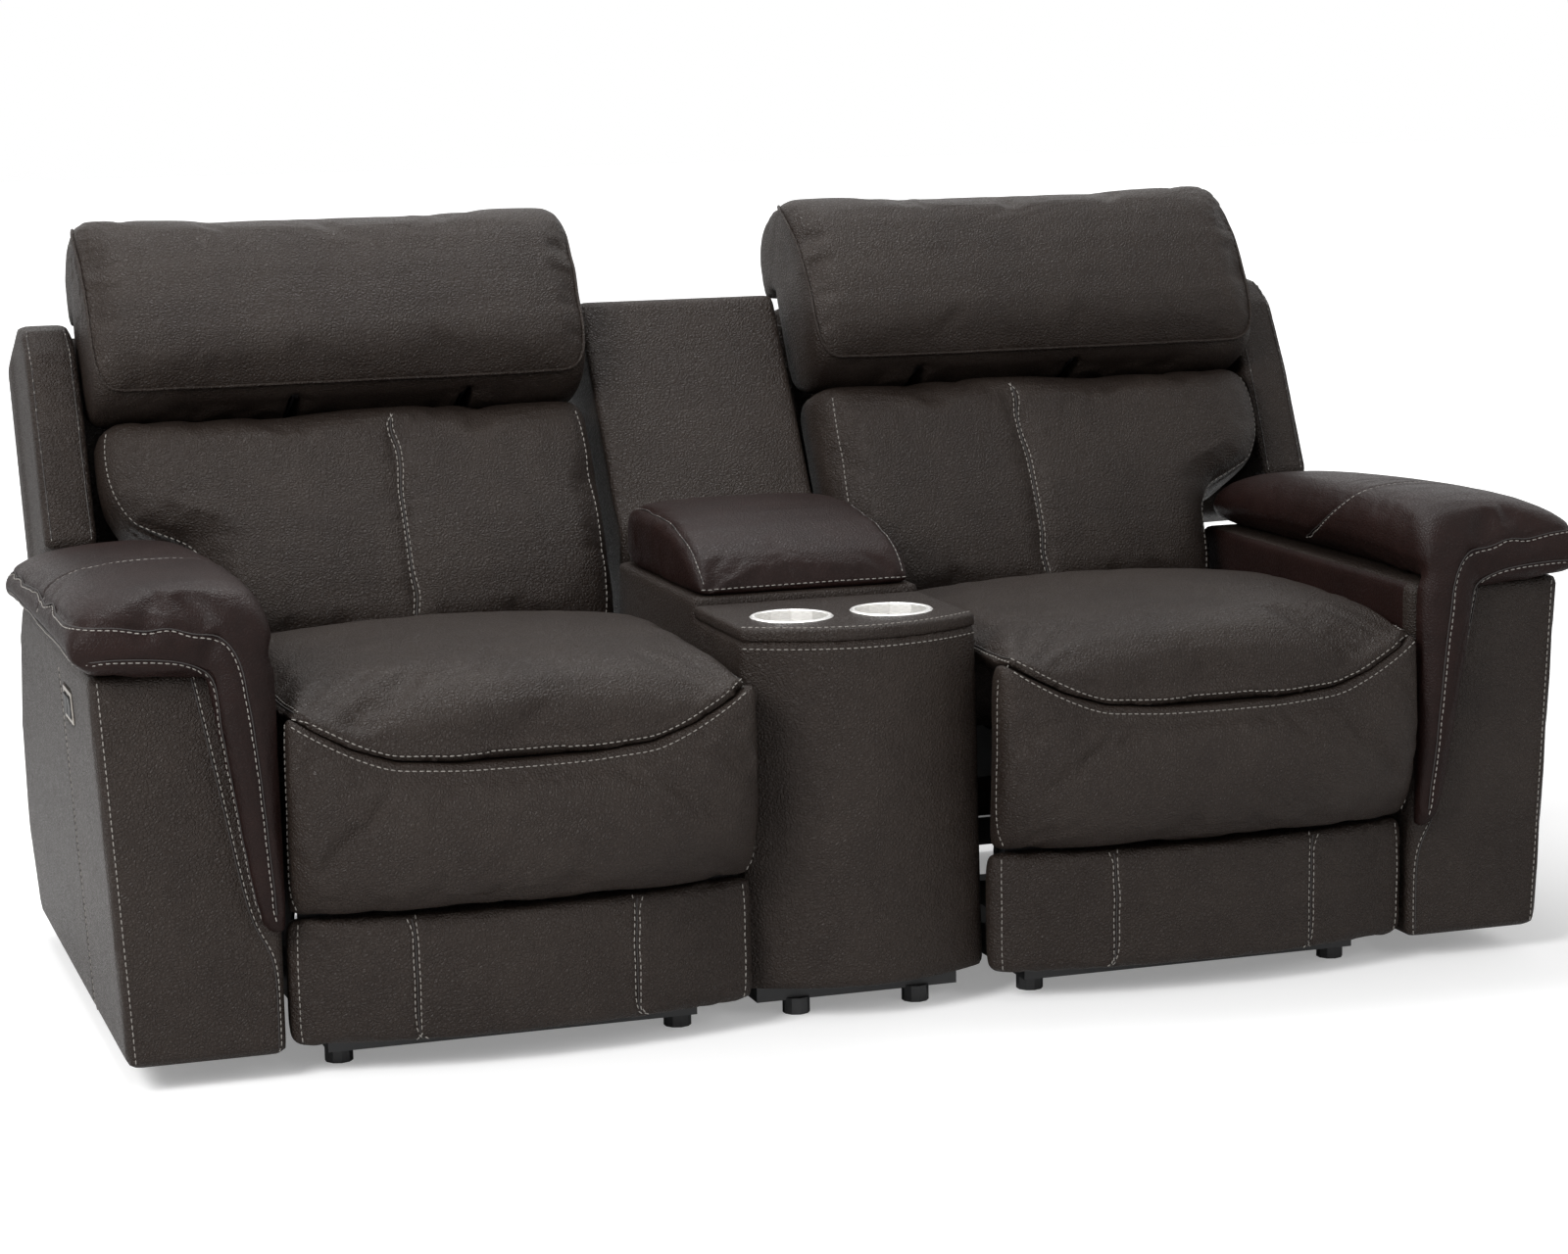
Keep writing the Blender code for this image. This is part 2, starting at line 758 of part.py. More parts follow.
def lid_board(name, place, pivot):
    """Board under the lid's pad; it drops into the mouth of the bin."""
    half = console_width / 2 - console_wall * 1.25 - lid_clearance
    high = lid_bottom - touch_gap
    board = box((-half, bin_front + lid_clearance * 3, high - board_thickness),
                (half, bin_rear - lid_clearance, high))
    return finish(board, name, "wood", 1, place, pivot)


hinge_half = 0.060
hinge_barrel = 0.0038
hinge_sheet = 0.0022
hinge_foot = 0.430


def lid_hinge_plate(name):
    """Fixed leaf on the console's rear wall, with the two outer knuckles."""
    y = console_rear + touch_gap
    leaf = box((-hinge_half, y, hinge_foot), (hinge_half, y + hinge_sheet, lid_axis_z - hinge_barrel * 0.5))
    inner = hinge_half * 0.5
    cut(leaf, box((-inner, y - overrun, lid_axis_z - hinge_barrel * 1.8), (inner, y + overrun, lid_axis_z)))
    for low, high in ((-hinge_half, -inner - touch_gap), (inner + touch_gap, hinge_half)):
        union(leaf, rod((low, lid_axis_y, lid_axis_z), (high, lid_axis_y, lid_axis_z), hinge_barrel))
    return finish(leaf, name, "steel")


def lid_hinge_leaf(name, place, pivot):
    """Moving leaf on the lid's rear face, with the middle knuckle."""
    inner = hinge_half * 0.5 - touch_gap
    y = lid_rear + touch_gap
    over = lid_axis_z + hinge_barrel * 0.5
    leaf = box((-inner, y, lid_bottom + hinge_barrel * 3), (inner, y + hinge_sheet, over))
    top = box((-inner, y, lid_axis_z - hinge_barrel * 0.5), (inner, lid_axis_y, over))
    union(leaf, top, rod((-inner, lid_axis_y, lid_axis_z), (inner, lid_axis_y, lid_axis_z), hinge_barrel))
    return finish(leaf, name, "steel", 1, place, pivot)


# Seat

def seam_height(x):
    """Height of the contour seam: level between the knees, rising to the seat's sides."""
    knee = half_seat * knee_share
    if abs(x) <= knee:
        return seam_low
    return mix(seam_low, seam_high, (abs(x) - knee) / (half_seat - knee))


def bow(x, power=2):
    """1 in the middle of a seat and 0 at its sides."""
    return 1 - abs(x / half_seat) ** power


def seat_cushion(name, side, place):
    """Crowned foam cushion whose nose reaches over the front drop to the contour seam."""
    bottom = seat_frame_bottom + seat_frame_height + touch_gap
    low = bottom - sink
    foot = seat_nose_foot

    def ring(x, shrink):
        """Side view from the rear round under the nose and back over the top."""
        lost = half_seat * (1 - shrink)
        seam = seam_height(x) + touch_gap * 3
        front = seat_front + seat_corner_back * (1 - bow(x)) + lost * 0.7
        crown = mix(seat_side_height, seat_crown, bow(x)) - lost * 0.42
        rise = crown - seam
        rear = seat_rear - lost * 0.5
        return [(x, rear, low + lost / 3), (x, foot, low + lost / 3), (x, foot - sink / 3, seam - sink / 2),
                (x, mix(front, foot, 0.84), seam), (x, front + sink * 0.7, seam),
                (x, front + touch_gap * 3, seam + sink / 5),
                (x, front, seam + rise * 0.2), (x, mix(front, foot, 0.14), crown - sink),
                (x, mix(front, rear, 0.24), crown), (x, mix(front, rear, 0.58), crown + sink / 6),
                (x, mix(front, rear, 0.92), crown - sink), (x, rear, crown - sink * 3)]

    shares = ((-1, 0.94), (-0.975, 0.985), (-0.88, 1), (-0.60, 1), (0, 1), (0.60, 1), (0.88, 1), (0.975, 0.985),
              (1, 0.94))
    cushion = rest_flat(loft([ring(half_seat * a, b) for a, b in shares]), "z", bottom, 1)
    return finish(cushion, name, "leather", side, place)


def seat_frame(name, side, place):
    """Welded frame under the cushion with spring wires from front to rear."""
    rail = link_plane + layer_pitch
    low = seat_frame_bottom
    high = low + seat_frame_height
    wide = rail + frame_rail / 2
    bay = rail - frame_rail / 2
    start = seat_frame_front + frame_bar
    end = seat_frame_rear - frame_bar
    ring = [(-wide, seat_frame_front), (wide, seat_frame_front), (wide, seat_frame_rear),
            (-wide, seat_frame_rear)]
    hole = [(-bay, start), (bay, start), (bay, end), (-bay, end)]
    frame = plate(ring, "z", low, high, [hole])
    union(frame, box((-rail, hanger_y - frame_bar / 2, low + hanger_lift),
                     (rail, hanger_y + frame_bar / 2, low + hanger_lift + hanger_height)))
    level = high - spring_drop
    first = start - frame_bar / 2
    last = end + frame_bar / 2
    for k in range(spring_count):
        middle = (2 * (k + 1) / (spring_count + 1) - 1) * rail
        bends = [(middle + (spring_swing if step % 2 else -spring_swing),
                  mix(first, last, (step + 0.5) / spring_waves), level) for step in range(spring_waves)]
        union(frame, wire_solid([(middle, first, level), *bends, (middle, last, level)], spring_wire))
    return finish(frame, name, "steel", side, place)


def wire_solid(path, radius):
    """A bent wire: a curve with a round section and filled ends, made a mesh."""
    curve = bpy.data.curves.new("wire", "CURVE")
    curve.dimensions = "3D"
    curve.bevel_depth = radius
    curve.bevel_resolution = 0
    curve.use_fill_caps = True
    spline = curve.splines.new("POLY")
    spline.points.add(len(path) - 1)
    for point, (x, y, z) in zip(spline.points, path):
        point.co = (x, y, z, 1)
    wire = bpy.data.objects.new("wire", curve)
    parts.objects.link(wire)
    bpy.context.view_layer.update()
    graph = bpy.context.evaluated_depsgraph_get()
    mesh = bpy.data.meshes.new_from_object(wire.evaluated_get(graph))
    bpy.data.objects.remove(wire)
    bm = bmesh.new()
    bm.from_mesh(mesh)
    bmesh.ops.remove_doubles(bm, verts=bm.verts, dist=touch_gap / 30)
    return from_bmesh(bm)


def flat_points(*pivots):
    return [(p.y, p.z) for p in pivots]


def layer(number):
    """Inner and outer x of a layer of the linkage; 0 is the crank's, 1 lies outside it."""
    middle = link_plane + number * layer_pitch
    return middle - plate_thickness / 2, middle + plate_thickness / 2


def side_plate(name, side, place, hand):
    """Side plate of the mechanism: carries the crank in front and the back's hinge behind."""
    low, high = layer(1)
    top = seat_frame_bottom - touch_gap
    lobe = top - crank_pivot.z
    runner = base_top + touch_gap
    front_lobe = [p for p in circle((crank_pivot.y, crank_pivot.z), lobe) if p[0] <= crank_pivot.y + lobe * 0.4]
    front_lobe.sort(key=lambda p: -atan2(p[1] - crank_pivot.z, -(p[0] - crank_pivot.y)))
    rear_lobe = plate_rear_lobe
    outline = [*front_lobe, (plate_shoulder_y, plate_shoulder_z), (plate_neck_y, plate_neck_z),
               (plate_foot_front, runner + plate_foot_height), (plate_foot_front, runner),
               (plate_foot_rear, runner), (plate_foot_rear, runner + plate_foot_height),
               (plate_waist_y, plate_neck_z), (plate_hip_y, plate_hip_z),
               (recline_y + rear_lobe * 0.7, recline_z - rear_lobe * 0.85),
               (recline_y + rear_lobe, recline_z + rear_lobe * 0.5),
               (recline_y + rear_lobe * 0.5, recline_z + rear_lobe),
               (recline_y - rear_lobe * 0.5, recline_z + rear_lobe),
               (recline_y - rear_lobe, recline_z + rear_lobe / 9),
               (seat_frame_rear, top)]
    holes = [circle((crank_pivot.y, crank_pivot.z), torque_tube_radius + running_gap),
             circle((recline_y, recline_z), pin_radius + running_gap),
             [(window_front, window_top), (window_rear, window_top), (window_rear - window_slant, plate_neck_z),
              (window_front + window_slant, plate_neck_z)]]
    body = plate(outline, "x", low, high, holes)
    if hand < 0:
        body.data.transform(Matrix.Diagonal((-1, 1, 1, 1)))
        body.data.flip_normals()
    return finish(body, name, "steel", side, place)


def paired(make):
    """Both copies of a piece of the linkage, one at each side plate."""
    copies = []
    for hand in (-1, 1):
        piece = make()
        if hand < 0:
            piece.data.transform(Matrix.Diagonal((-1, 1, 1, 1)))
            piece.data.flip_normals()
        copies.append(piece)
    return copies


def crank(name, side, place):
    """Two crank straps on the torque tube that the motor turns."""
    low, high = layer(0)
    outline = around(flat_points(crank_pivot, lower_pivot, brace_pivot), link_radius)
    straps = paired(lambda: plate(outline, "x", low, high, [circle((p.y, p.z), pin_radius + running_gap)
                                                            for p in (lower_pivot, brace_pivot)]))
    reach = layer(1)[1] + plate_thickness
    tube = rod(crank_pivot - Vector((reach, 0, 0)), crank_pivot + Vector((reach, 0, 0)), torque_tube_radius)
    union(tube, *straps)
    return finish(tube, name, "steel", side, place, crank_pivot)


def carrier(name, side, place):
    """Outer straps from the crank's end to the footrest, joined by a tube."""
    low, high = layer(1)
    straps = paired(lambda: plate(around(flat_points(lower_pivot, footrest_pivot), link_radius), "x", low, high))
    tube = rod(lower_pivot - Vector((high - touch_gap, 0, 0)), lower_pivot + Vector((high - touch_gap, 0, 0)),
               pin_radius)
    union(tube, *straps)
    inner = layer(0)[0] - pin_stand
    for s in (-1, 1):
        union(tube, rod(footrest_pivot + Vector((s * inner, 0, 0)),
                        footrest_pivot + Vector((s * (high - touch_gap), 0, 0)), pin_radius))
    return finish(tube, name, "steel", side, place, lower_pivot)


def brace(name, side, place):
    """Inner straps parallel to the carrier, which keep the footrest parallel to the crank."""
    low, high = layer(-1)
    straps = paired(lambda: plate(around(flat_points(brace_pivot, upper_pivot), link_radius), "x", low, high))
    reach = layer(0)[1] + touch_gap
    tube = rod(brace_pivot - Vector((reach, 0, 0)), brace_pivot + Vector((reach, 0, 0)), pin_radius)
    union(tube, *straps)
    for s in (-1, 1):
        union(tube, rod(upper_pivot + Vector((s * (low + touch_gap), 0, 0)), upper_pivot + Vector((s * reach, 0, 0)),
                        pin_radius))
    return finish(tube, name, "steel", side, place, brace_pivot)


def footrest_board(name, side, place):
    """Plywood board with a steel ear for the linkage at each side."""
    low, high = layer(0)
    rear = board_front + board_thickness
    middle = rear - board_thickness / 2
    board = box((-half_seat + board_inset, board_front, panel_bottom + board_thickness),
                (half_seat - board_inset, rear, seam_low - board_below_seam))
    ear_shape = around([(middle, footrest_pivot.z - link_radius * 0.8), (footrest_pivot.y, footrest_pivot.z),
                        (upper_pivot.y, upper_pivot.z), (middle, seam_low - board_below_seam * 2.5)], link_radius)
    ears = paired(lambda: plate([(min(y, 0), z) for y, z in ear_shape], "x", low, high,
                                [circle((p.y, p.z), pin_radius + running_gap)
                                 for p in (footrest_pivot, upper_pivot)]))
    for ear in ears:
        cut(ear, box((-half_seat, board_front - overrun, 0), (half_seat, middle, arm_top)))
    union(board, *ears)
    return finish(board, name, "wood", side, place, footrest_pivot)


def front_drop(name, side, place):
    """Padded front of the footrest, up to the contour seam, bulging in the middle."""
    seat_face = board_front - touch_gap
    rear = seat_face + sink
    width = half_seat - touch_gap * 5

    def ring(x, shrink):
        """Side view from the rear's foot up, over the top and down the bulging front."""
        lost = half_seat * (1 - shrink)
        top = seam_height(x) - touch_gap * 3 - lost * 0.17
        foot = panel_top + touch_gap * 4 + lost * 0.14
        upper = mix(seat_front + seat_corner_back, seat_front, bow(x)) + lost * 0.8
        bulge = mix(drop_side, drop_front, bow(x)) + lost * 0.8
        lower = mix(drop_side, drop_front, bow(x)) * 0.5 + mix(drop_side_foot, drop_foot, bow(x)) * 0.5 + lost * 0.8
        last = mix(drop_side_foot, drop_foot, bow(x)) + lost * 0.8
        near = x * drop_taper
        between = mix(near, x, 0.7)
        rise = top - seam_height(x)
        return [(near, rear, foot), (near, rear, seam_height(near) + rise),
                (between, mix(rear, upper, 0.5), seam_height(between) + rise),
                (x, upper + sink * 0.7, top), (x, upper + touch_gap * 2, top - sink / 5), (x, upper - sink / 3, mix(foot, top, 0.90)),
                (x, mix(upper, bulge, 0.8), mix(foot, top, 0.66)), (x, bulge, mix(foot, top, 0.38)),
                (x, lower, mix(foot, top, 0.10)), (x, last - touch_gap * 3, foot + sink / 4),
                (x, last + sink * 0.6, foot)]

    shares = ((-1, 0.94), (-0.985, 0.985), (-0.90, 1), (-0.60, 1), (0, 1), (0.60, 1), (0.90, 1), (0.985, 0.985),
              (1, 0.94))
    pad = rest_flat(loft([ring(width * a, b) for a, b in shares]), "y", seat_face, -1)
    return finish(pad, name, "leather", side, place, footrest_pivot)


def lower_panel(name, side, place):
    """Flat upholstered panel under the front drop, slightly bowed."""
    seat_face = board_front - touch_gap
    rear = seat_face + sink
    width = half_seat - touch_gap * 5

    def ring(x, inset):
        front = mix(panel_side, panel_front, bow(x)) + inset
        low = panel_bottom + inset
        high = panel_top - inset
        edge = sink / 4
        return [(x, rear, low), (x, rear, high), (x, front + sink / 2, high), (x, front + touch_gap * 2, high - edge / 2),
                (x, front, high - edge * 3), (x, front - touch_gap * 5, mix(low, high, 0.5)),
                (x, front, low + edge * 3), (x, front + touch_gap * 2, low + edge / 2), (x, front + sink / 2, low)]

    edge = sink / 3
    shares = ((-1, edge), (-0.99, edge / 4), (-0.5, 0), (0, 0), (0.5, 0), (0.99, edge / 4), (1, edge))
    panel = rest_flat(loft([ring(width * a, b) for a, b in shares]), "y", seat_face, -1)
    return finish(panel, name, "leather", side, place, footrest_pivot)


def footrest_motor(name, side, place):
    """Linear motor: gear housing behind, a guide rail forward, hung from the seat frame."""
    strap = motor_half / 2
    under_frame = seat_frame_bottom - touch_gap
    strap_rear = motor_rear - motor_strap / 2
    housing = bevel(box((-motor_half, motor_front, rail_z - motor_below),
                        (motor_half, motor_rear, rail_z + motor_above)), motor_round)
    rail = box((-rail_half_width, rail_front, rail_z - rail_half_height),
               (rail_half_width, motor_front + motor_round, rail_z + rail_half_height))
    can = rod((0, can_y, rail_z - motor_below / 2), (0, can_y, rail_z - can_reach), can_radius, 20)
    front_hanger = box((-strap, hanger_y - motor_strap, rail_z), (strap, hanger_y, under_frame + hanger_lift))
    rear_hanger = box((-strap, strap_rear - motor_strap, rail_z), (strap, strap_rear, under_frame))
    foot = box((-strap, strap_rear - motor_strap, under_frame - motor_strap),
               (strap, seat_frame_rear - frame_bar * 0.4, under_frame))
    union(housing, rail, can, front_hanger, rear_hanger, foot)
    return finish(housing, name, "plastic", side, place)


def drive_nut(name, side, place):
    """Nut block that the motor's screw moves along the guide rail."""
    half = nut_half * 4 / 3
    block = box((-half, nut_y - nut_half, rail_z - nut_half), (half, nut_y + nut_half, rail_z + nut_half))
    bevel(block, nut_round, 1)
    cut(block, box((-rail_half_width - touch_gap, nut_y - overrun * 2, rail_z - rail_half_height - touch_gap),
                   (rail_half_width + touch_gap, nut_y + overrun * 2, rail_z + rail_half_height + touch_gap)))
    return finish(block, name, "plastic", side, place, (0, nut_y, rail_z))


# Back, in its own upright frame: x across, -y forward, z up along the back from its hinge

def back_frame(name, side, place):
    """Two posts on the recline hinge with a pressed panel between them and the headrest's arms."""
    outer = layer(0)[1]
    middle = outer - back_post / 2
    front = frame_front
    rear = back_rear - shell_thickness
    top = back_height * 0.917
    posts = [box((near, front, back_post_foot), (far, rear, top))
             for near, far in ((-outer, back_post - outer), (outer - back_post, outer))]
    panel = box((-middle, rear - back_sheet, back_sheet_low), (middle, rear, top))
    spreader = box((-middle, front, top - back_post), (middle, rear, top))
    wing_rail = box((middle, rear - wing_rail_depth, wing_rail_low),
                    (half_seat + wing_rail_reach, rear, wing_rail_low + wing_rail_height))
    frame = union(posts[0], posts[1], panel, spreader, wing_rail)
    reach = layer(1)[1] + pin_stand
    for s in (-1, 1):
        union(frame, rod((s * middle, 0, 0), (s * reach, 0, 0), pin_radius))
    for s in (-1, 1):
        shape = around([(-headrest_pivot_forward, headrest_pivot_up), (rear - link_radius, headrest_pivot_up)],
                       link_radius)
        hole = circle((-headrest_pivot_forward, headrest_pivot_up), pin_radius + running_gap)
        strap_x = s * headrest_arm_x
        strap = plate(shape, "x", strap_x - plate_thickness / 2, strap_x + plate_thickness / 2, [hole])
        union(frame, strap)
    return finish(frame, name, "steel", side, place)


def back_shell(name, side, place):
    """Padded outside of the back, with a wing on the outer side that stands over the arm."""
    front = back_rear - shell_thickness + touch_gap
    narrow = half_seat - soft_gap * 1.8
    outer = half_seat + wing_reach
    inner = -half_seat - soft_gap * 0.6
    step = ear_low
    turn = shell_thickness / 2
    bottom = -link_radius * 0.64
    outline = [(-narrow, bottom), (narrow, bottom), (narrow, step), (outer, step + soft_gap),
               (outer, back_height - turn), (outer - turn * 0.3, back_height - turn * 0.3),
               (outer - turn, back_height), (inner + turn, back_height),
               (inner + turn * 0.3, back_height - turn * 0.3), (inner, back_height - turn), (inner, step),
               (-narrow, step - overrun)]
    shell = plate(outline, "y", front, back_rear)
    rear = back_rear - soft_gap
    tip = -wing_depth
    wing = plate([(rear, step + soft_gap * 1.5), (tip, step + soft_gap * 2.5),
                  (tip - soft_gap, mix(step, back_height, 0.49)), (tip + soft_gap, mix(step, back_height, 0.79)),
                  (tip + turn, mix(step, back_height, 0.905)), (tip + turn * 2.4, back_height - soft_gap * 2),
                  (rear, back_height - soft_gap)],
                 "x", outer - wing_width, outer - soft_gap)
    lip = shell_round * 2
    edge = box((inner + touch_gap * 6, -lip, step), (inner + lip, rear - soft_gap, back_height - turn * 1.5))
    bevel(shell, shell_round)
    bevel(wing, shell_round)
    union(shell, wing, edge)
    return finish(shell, name, "leather", side, place)


def back_cushion(name, side, place):
    """Lumbar cushion: narrow between arm and console, with an ear out over the arm's pad."""
    seat_face = frame_front - touch_gap
    rear = seat_face + sink
    narrow = half_seat - soft_gap * 2
    ear = half_seat + ear_reach
    inner = half_seat + soft_gap
    corner = shell_thickness * 0.56

    def ring(z, left, right, deep):
        """Plan of the cushion at a height, from the rear left corner round the front."""
        front = -deep
        return [(-left, rear, z), (0, rear, z), (right, rear, z), (right, mix(rear, front, 0.55), z),
                (right - corner * 0.3, front + corner * 0.35, z), (right - corner * 1.6, front, z),
                (mix(-left, right, 0.5), front - sink / 2, z), (-left + corner * 1.6, front, z),
                (-left + corner * 0.3, front + corner * 0.35, z), (-left, mix(rear, front, 0.55), z)]

    full = lumbar_front
    tall = lumbar_top - back_bottom
    rings = [ring(back_bottom, inner - sink, narrow - sink, full - sink * 3),
             ring(back_bottom + tall * 0.04, inner, narrow, full - sink),
             ring(back_bottom + tall * 0.27, inner, narrow, full + sink / 3),
             ring(ear_low - soft_gap, inner, narrow + soft_gap, full + sink / 3),
             ring(ear_low + soft_gap * 4, inner, ear - soft_gap * 1.5, full + sink / 6),
             ring(back_bottom + tall * 0.81, inner, ear, full - sink / 6),
             ring(back_bottom + tall * 0.94, inner, ear - soft_gap / 2, full - sink),
             ring(back_bottom + tall * 0.985, inner - soft_gap, ear - sink, full - sink * 2.8),
             ring(lumbar_top, inner - sink, ear - sink * 2, full - sink * 5)]
    cushion = rest_flat(loft(rings), "y", seat_face, -1)
    return finish(cushion, name, "leather", side, place)


def headrest_bracket(name, side, place, pivot):
    """Steel panel in the headrest with two ears to the tilt pivot."""
    plate_rear = bracket_front + plate_thickness
    panel = box((-link_plane, bracket_front, bracket_low), (link_plane, plate_rear, bracket_high))
    gap = touch_gap * 1.7
    for s in (-1, 1):
        inner = headrest_arm_x - plate_thickness * 1.5 - gap
        outer = headrest_arm_x - plate_thickness * 0.5 - gap
        shape = around([(-headrest_pivot_forward, headrest_pivot_up), (bracket_front, bracket_low + link_radius * 1.6)],
                       link_radius)
        shape = [(min(y, plate_rear - touch_gap), z) for y, z in shape]
        ear = plate(shape, "x", min(s * inner, s * outer), max(s * inner, s * outer))
        union(panel, ear)
        reach = headrest_arm_x + plate_thickness * 0.75
        union(panel, rod((s * (inner + plate_thickness / 2), -headrest_pivot_forward, headrest_pivot_up),
                         (s * reach, -headrest_pivot_forward, headrest_pivot_up), pin_radius))
    return finish(panel, name, "steel", side, place, pivot)


def headrest_cushion(name, side, place, pivot):
    """Headrest roll: it overhangs the lumbar cushion, and its top comes back over the shell."""
    left = -half_seat - soft_gap * 0.6
    right = half_seat + headrest_reach
    seat_face = bracket_front - touch_gap
    middle = (headrest_bottom + headrest_top) / 2
    half = (headrest_top - headrest_bottom) / 2
    deep = headrest_front + seat_face
    shares = ((-0.88, -0.10), (-1.0, 0.22), (-1.0, 0.72), (-0.80, 1.0), (-0.10, 1.0), (0.50, 0.92), (0.88, 0.70),
              (1.0, 0.36), (1.0, -0.04), (0.86, -0.36), (0.28, -0.40))

    def ring(x, shrink):
        """Side view: shares of half the height and of the depth in front of the bracket."""
        return [(x, seat_face - deep * b * mix(1, shrink, 0.8), middle + half * a * shrink) for a, b in shares]

    stations = ((0, 0.90), (0.012, 0.97), (0.06, 1), (0.5, 1.0), (0.94, 1), (0.988, 0.97), (1, 0.90))
    cushion = loft([ring(mix(left, right, a), b) for a, b in stations])
    far = right + overrun
    cut(cushion, box((-far, seat_face, 0), (far, headrest_front, back_height + soft_gap)))
    slot = plate_thickness * 5
    for s in (-1, 1):
        cut(cushion, box((s * headrest_arm_x - slot / 2, -headrest_pivot_forward - link_radius - soft_gap, 0),
                         (s * headrest_arm_x + slot / 2, 0, bracket_low + link_radius * 3)))
    return finish(cushion, name, "leather", side, place, pivot)

# Assembly

def make_seat(hand):
    side = -1 if hand == "left" else 1
    seat = empty("seat_place_" + hand, (side * seat_middle, 0, 0))
    seat_cushion("seat_cushion_" + hand, side, seat)
    seat_frame("seat_frame_" + hand, side, seat)
    side_plate("outer_side_plate_" + hand, side, seat, 1)
    side_plate("inner_side_plate_" + hand, side, seat, -1)
    footrest_motor("footrest_motor_" + hand, side, seat)
    nut = empty("drive_nut_place_" + hand, (0, nut_y, rail_z), seat)
    drive_nut("drive_nut_" + hand, side, nut)
    turn = empty("crank_pivot_" + hand, crank_pivot, seat)
    crank("crank_" + hand, side, turn)
    swing = empty("carrier_pivot_" + hand, lower_pivot - crank_pivot, turn)
    carrier("carrier_" + hand, side, swing)
    steady = empty("brace_pivot_" + hand, brace_pivot - crank_pivot, turn)
    brace("brace_" + hand, side, steady)
    rest = empty("footrest_pivot_" + hand, footrest_pivot - lower_pivot, swing)
    footrest_board("footrest_board_" + hand, side, rest)
    front_drop("front_drop_" + hand, side, rest)
    lower_panel("lower_panel_" + hand, side, rest)
    back = empty("recline_pivot_" + hand, (0, recline_y, recline_z), seat, turn_x=-back_tilt)
    back_frame("back_frame_" + hand, side, back)
    back_shell("back_shell_" + hand, side, back)
    back_cushion("back_cushion_" + hand, side, back)
    pivot = (0, -headrest_pivot_forward, headrest_pivot_up)
    head = empty("headrest_pivot_" + hand, pivot, back)
    headrest_bracket("headrest_bracket_" + hand, side, head, pivot)
    headrest_cushion("headrest_cushion_" + hand, side, head, pivot)


def make_arm(hand):
    side = -1 if hand == "left" else 1
    base_frame("base_frame_" + hand, side)
    rear_apron("rear_apron_" + hand, side)
    arm_casing("arm_casing_" + hand, side)
    arm_pad("arm_pad_" + hand, side)
    face = switch_face()
    place = empty("switch_place_" + hand, (side * face.x, face.y, face.z), turn_y=side * switch_turn())
    switch_plate("switch_plate_" + hand, side, place)
    rocker("recline_rocker_" + hand, side, place, -rocker_spread)
    rocker("headrest_rocker_" + hand, side, place, rocker_spread)


def make_console():
    console_base("console_base")
    console_casing("console_casing")
    console_deck("console_deck")
    cup_holder("cup_holder_left", -1)
    cup_holder("cup_holder_right", 1)
    console_back("console_back")
    lid_hinge_plate("lid_hinge_plate")
    pivot = (0, lid_axis_y, lid_axis_z)
    place = empty("lid_pivot", pivot)
    lid_hinge_leaf("lid_hinge_leaf", place, pivot)
    lid_board("lid_board", place, pivot)
    lid_pad("lid_pad", place, pivot)


make_console()
for hand in ("left", "right"):
    make_arm(hand)
    make_seat(hand)
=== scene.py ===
# %% [markdown]
# A reclining loveseat in dark leather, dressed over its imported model.
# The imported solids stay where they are. Each leather piece gets a softer cover with seams and
# stitches, and the metal, wood and plastic parts get finished materials.

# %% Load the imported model
from math import cos, exp, radians, sin

import bmesh
import bpy
import numpy as np
from mathutils import Matrix, Vector, noise
from mathutils.bvhtree import BVHTree
from mathutils.kdtree import KDTree


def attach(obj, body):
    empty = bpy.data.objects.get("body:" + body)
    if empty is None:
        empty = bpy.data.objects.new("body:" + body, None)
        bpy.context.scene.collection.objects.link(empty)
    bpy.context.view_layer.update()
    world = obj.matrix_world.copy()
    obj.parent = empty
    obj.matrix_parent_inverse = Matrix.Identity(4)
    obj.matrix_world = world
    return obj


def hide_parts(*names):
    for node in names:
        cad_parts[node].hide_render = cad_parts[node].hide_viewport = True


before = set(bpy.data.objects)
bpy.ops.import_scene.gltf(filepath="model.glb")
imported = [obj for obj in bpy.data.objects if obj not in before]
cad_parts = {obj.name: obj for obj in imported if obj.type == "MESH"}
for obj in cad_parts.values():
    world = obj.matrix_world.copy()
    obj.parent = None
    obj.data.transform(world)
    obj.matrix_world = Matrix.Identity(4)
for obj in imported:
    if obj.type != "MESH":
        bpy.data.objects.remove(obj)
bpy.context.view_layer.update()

# %% [markdown]
# Operators act on whatever is selected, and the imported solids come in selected.
# One helper therefore leaves a single piece selected and active before each operator.

# %% Select one piece
def only(piece):
    bpy.ops.object.select_all(action="DESELECT")
    piece.select_set(True)
    bpy.context.view_layer.objects.active = piece
    return piece


def apply_all(piece):
    only(piece)
    for modifier in list(piece.modifiers):
        bpy.ops.object.modifier_apply(modifier=modifier.name)
    return piece


def new_piece(name, mesh):
    piece = bpy.data.objects.new(name, mesh)
    bpy.context.scene.collection.objects.link(piece)
    return piece

# %% [markdown]
# The camera stands to the left of the loveseat and a little above it, with a long lens, so that
# both seats keep their width and the console shows its bowed front.

# %% Camera
camera_place = Vector((-1.479, -4.6235, 1.226))
camera_yaw, camera_pitch, camera_roll = radians(18.16), radians(9.28), radians(-1.01)
picture_width = 1600
focal_pixels = 3687.2

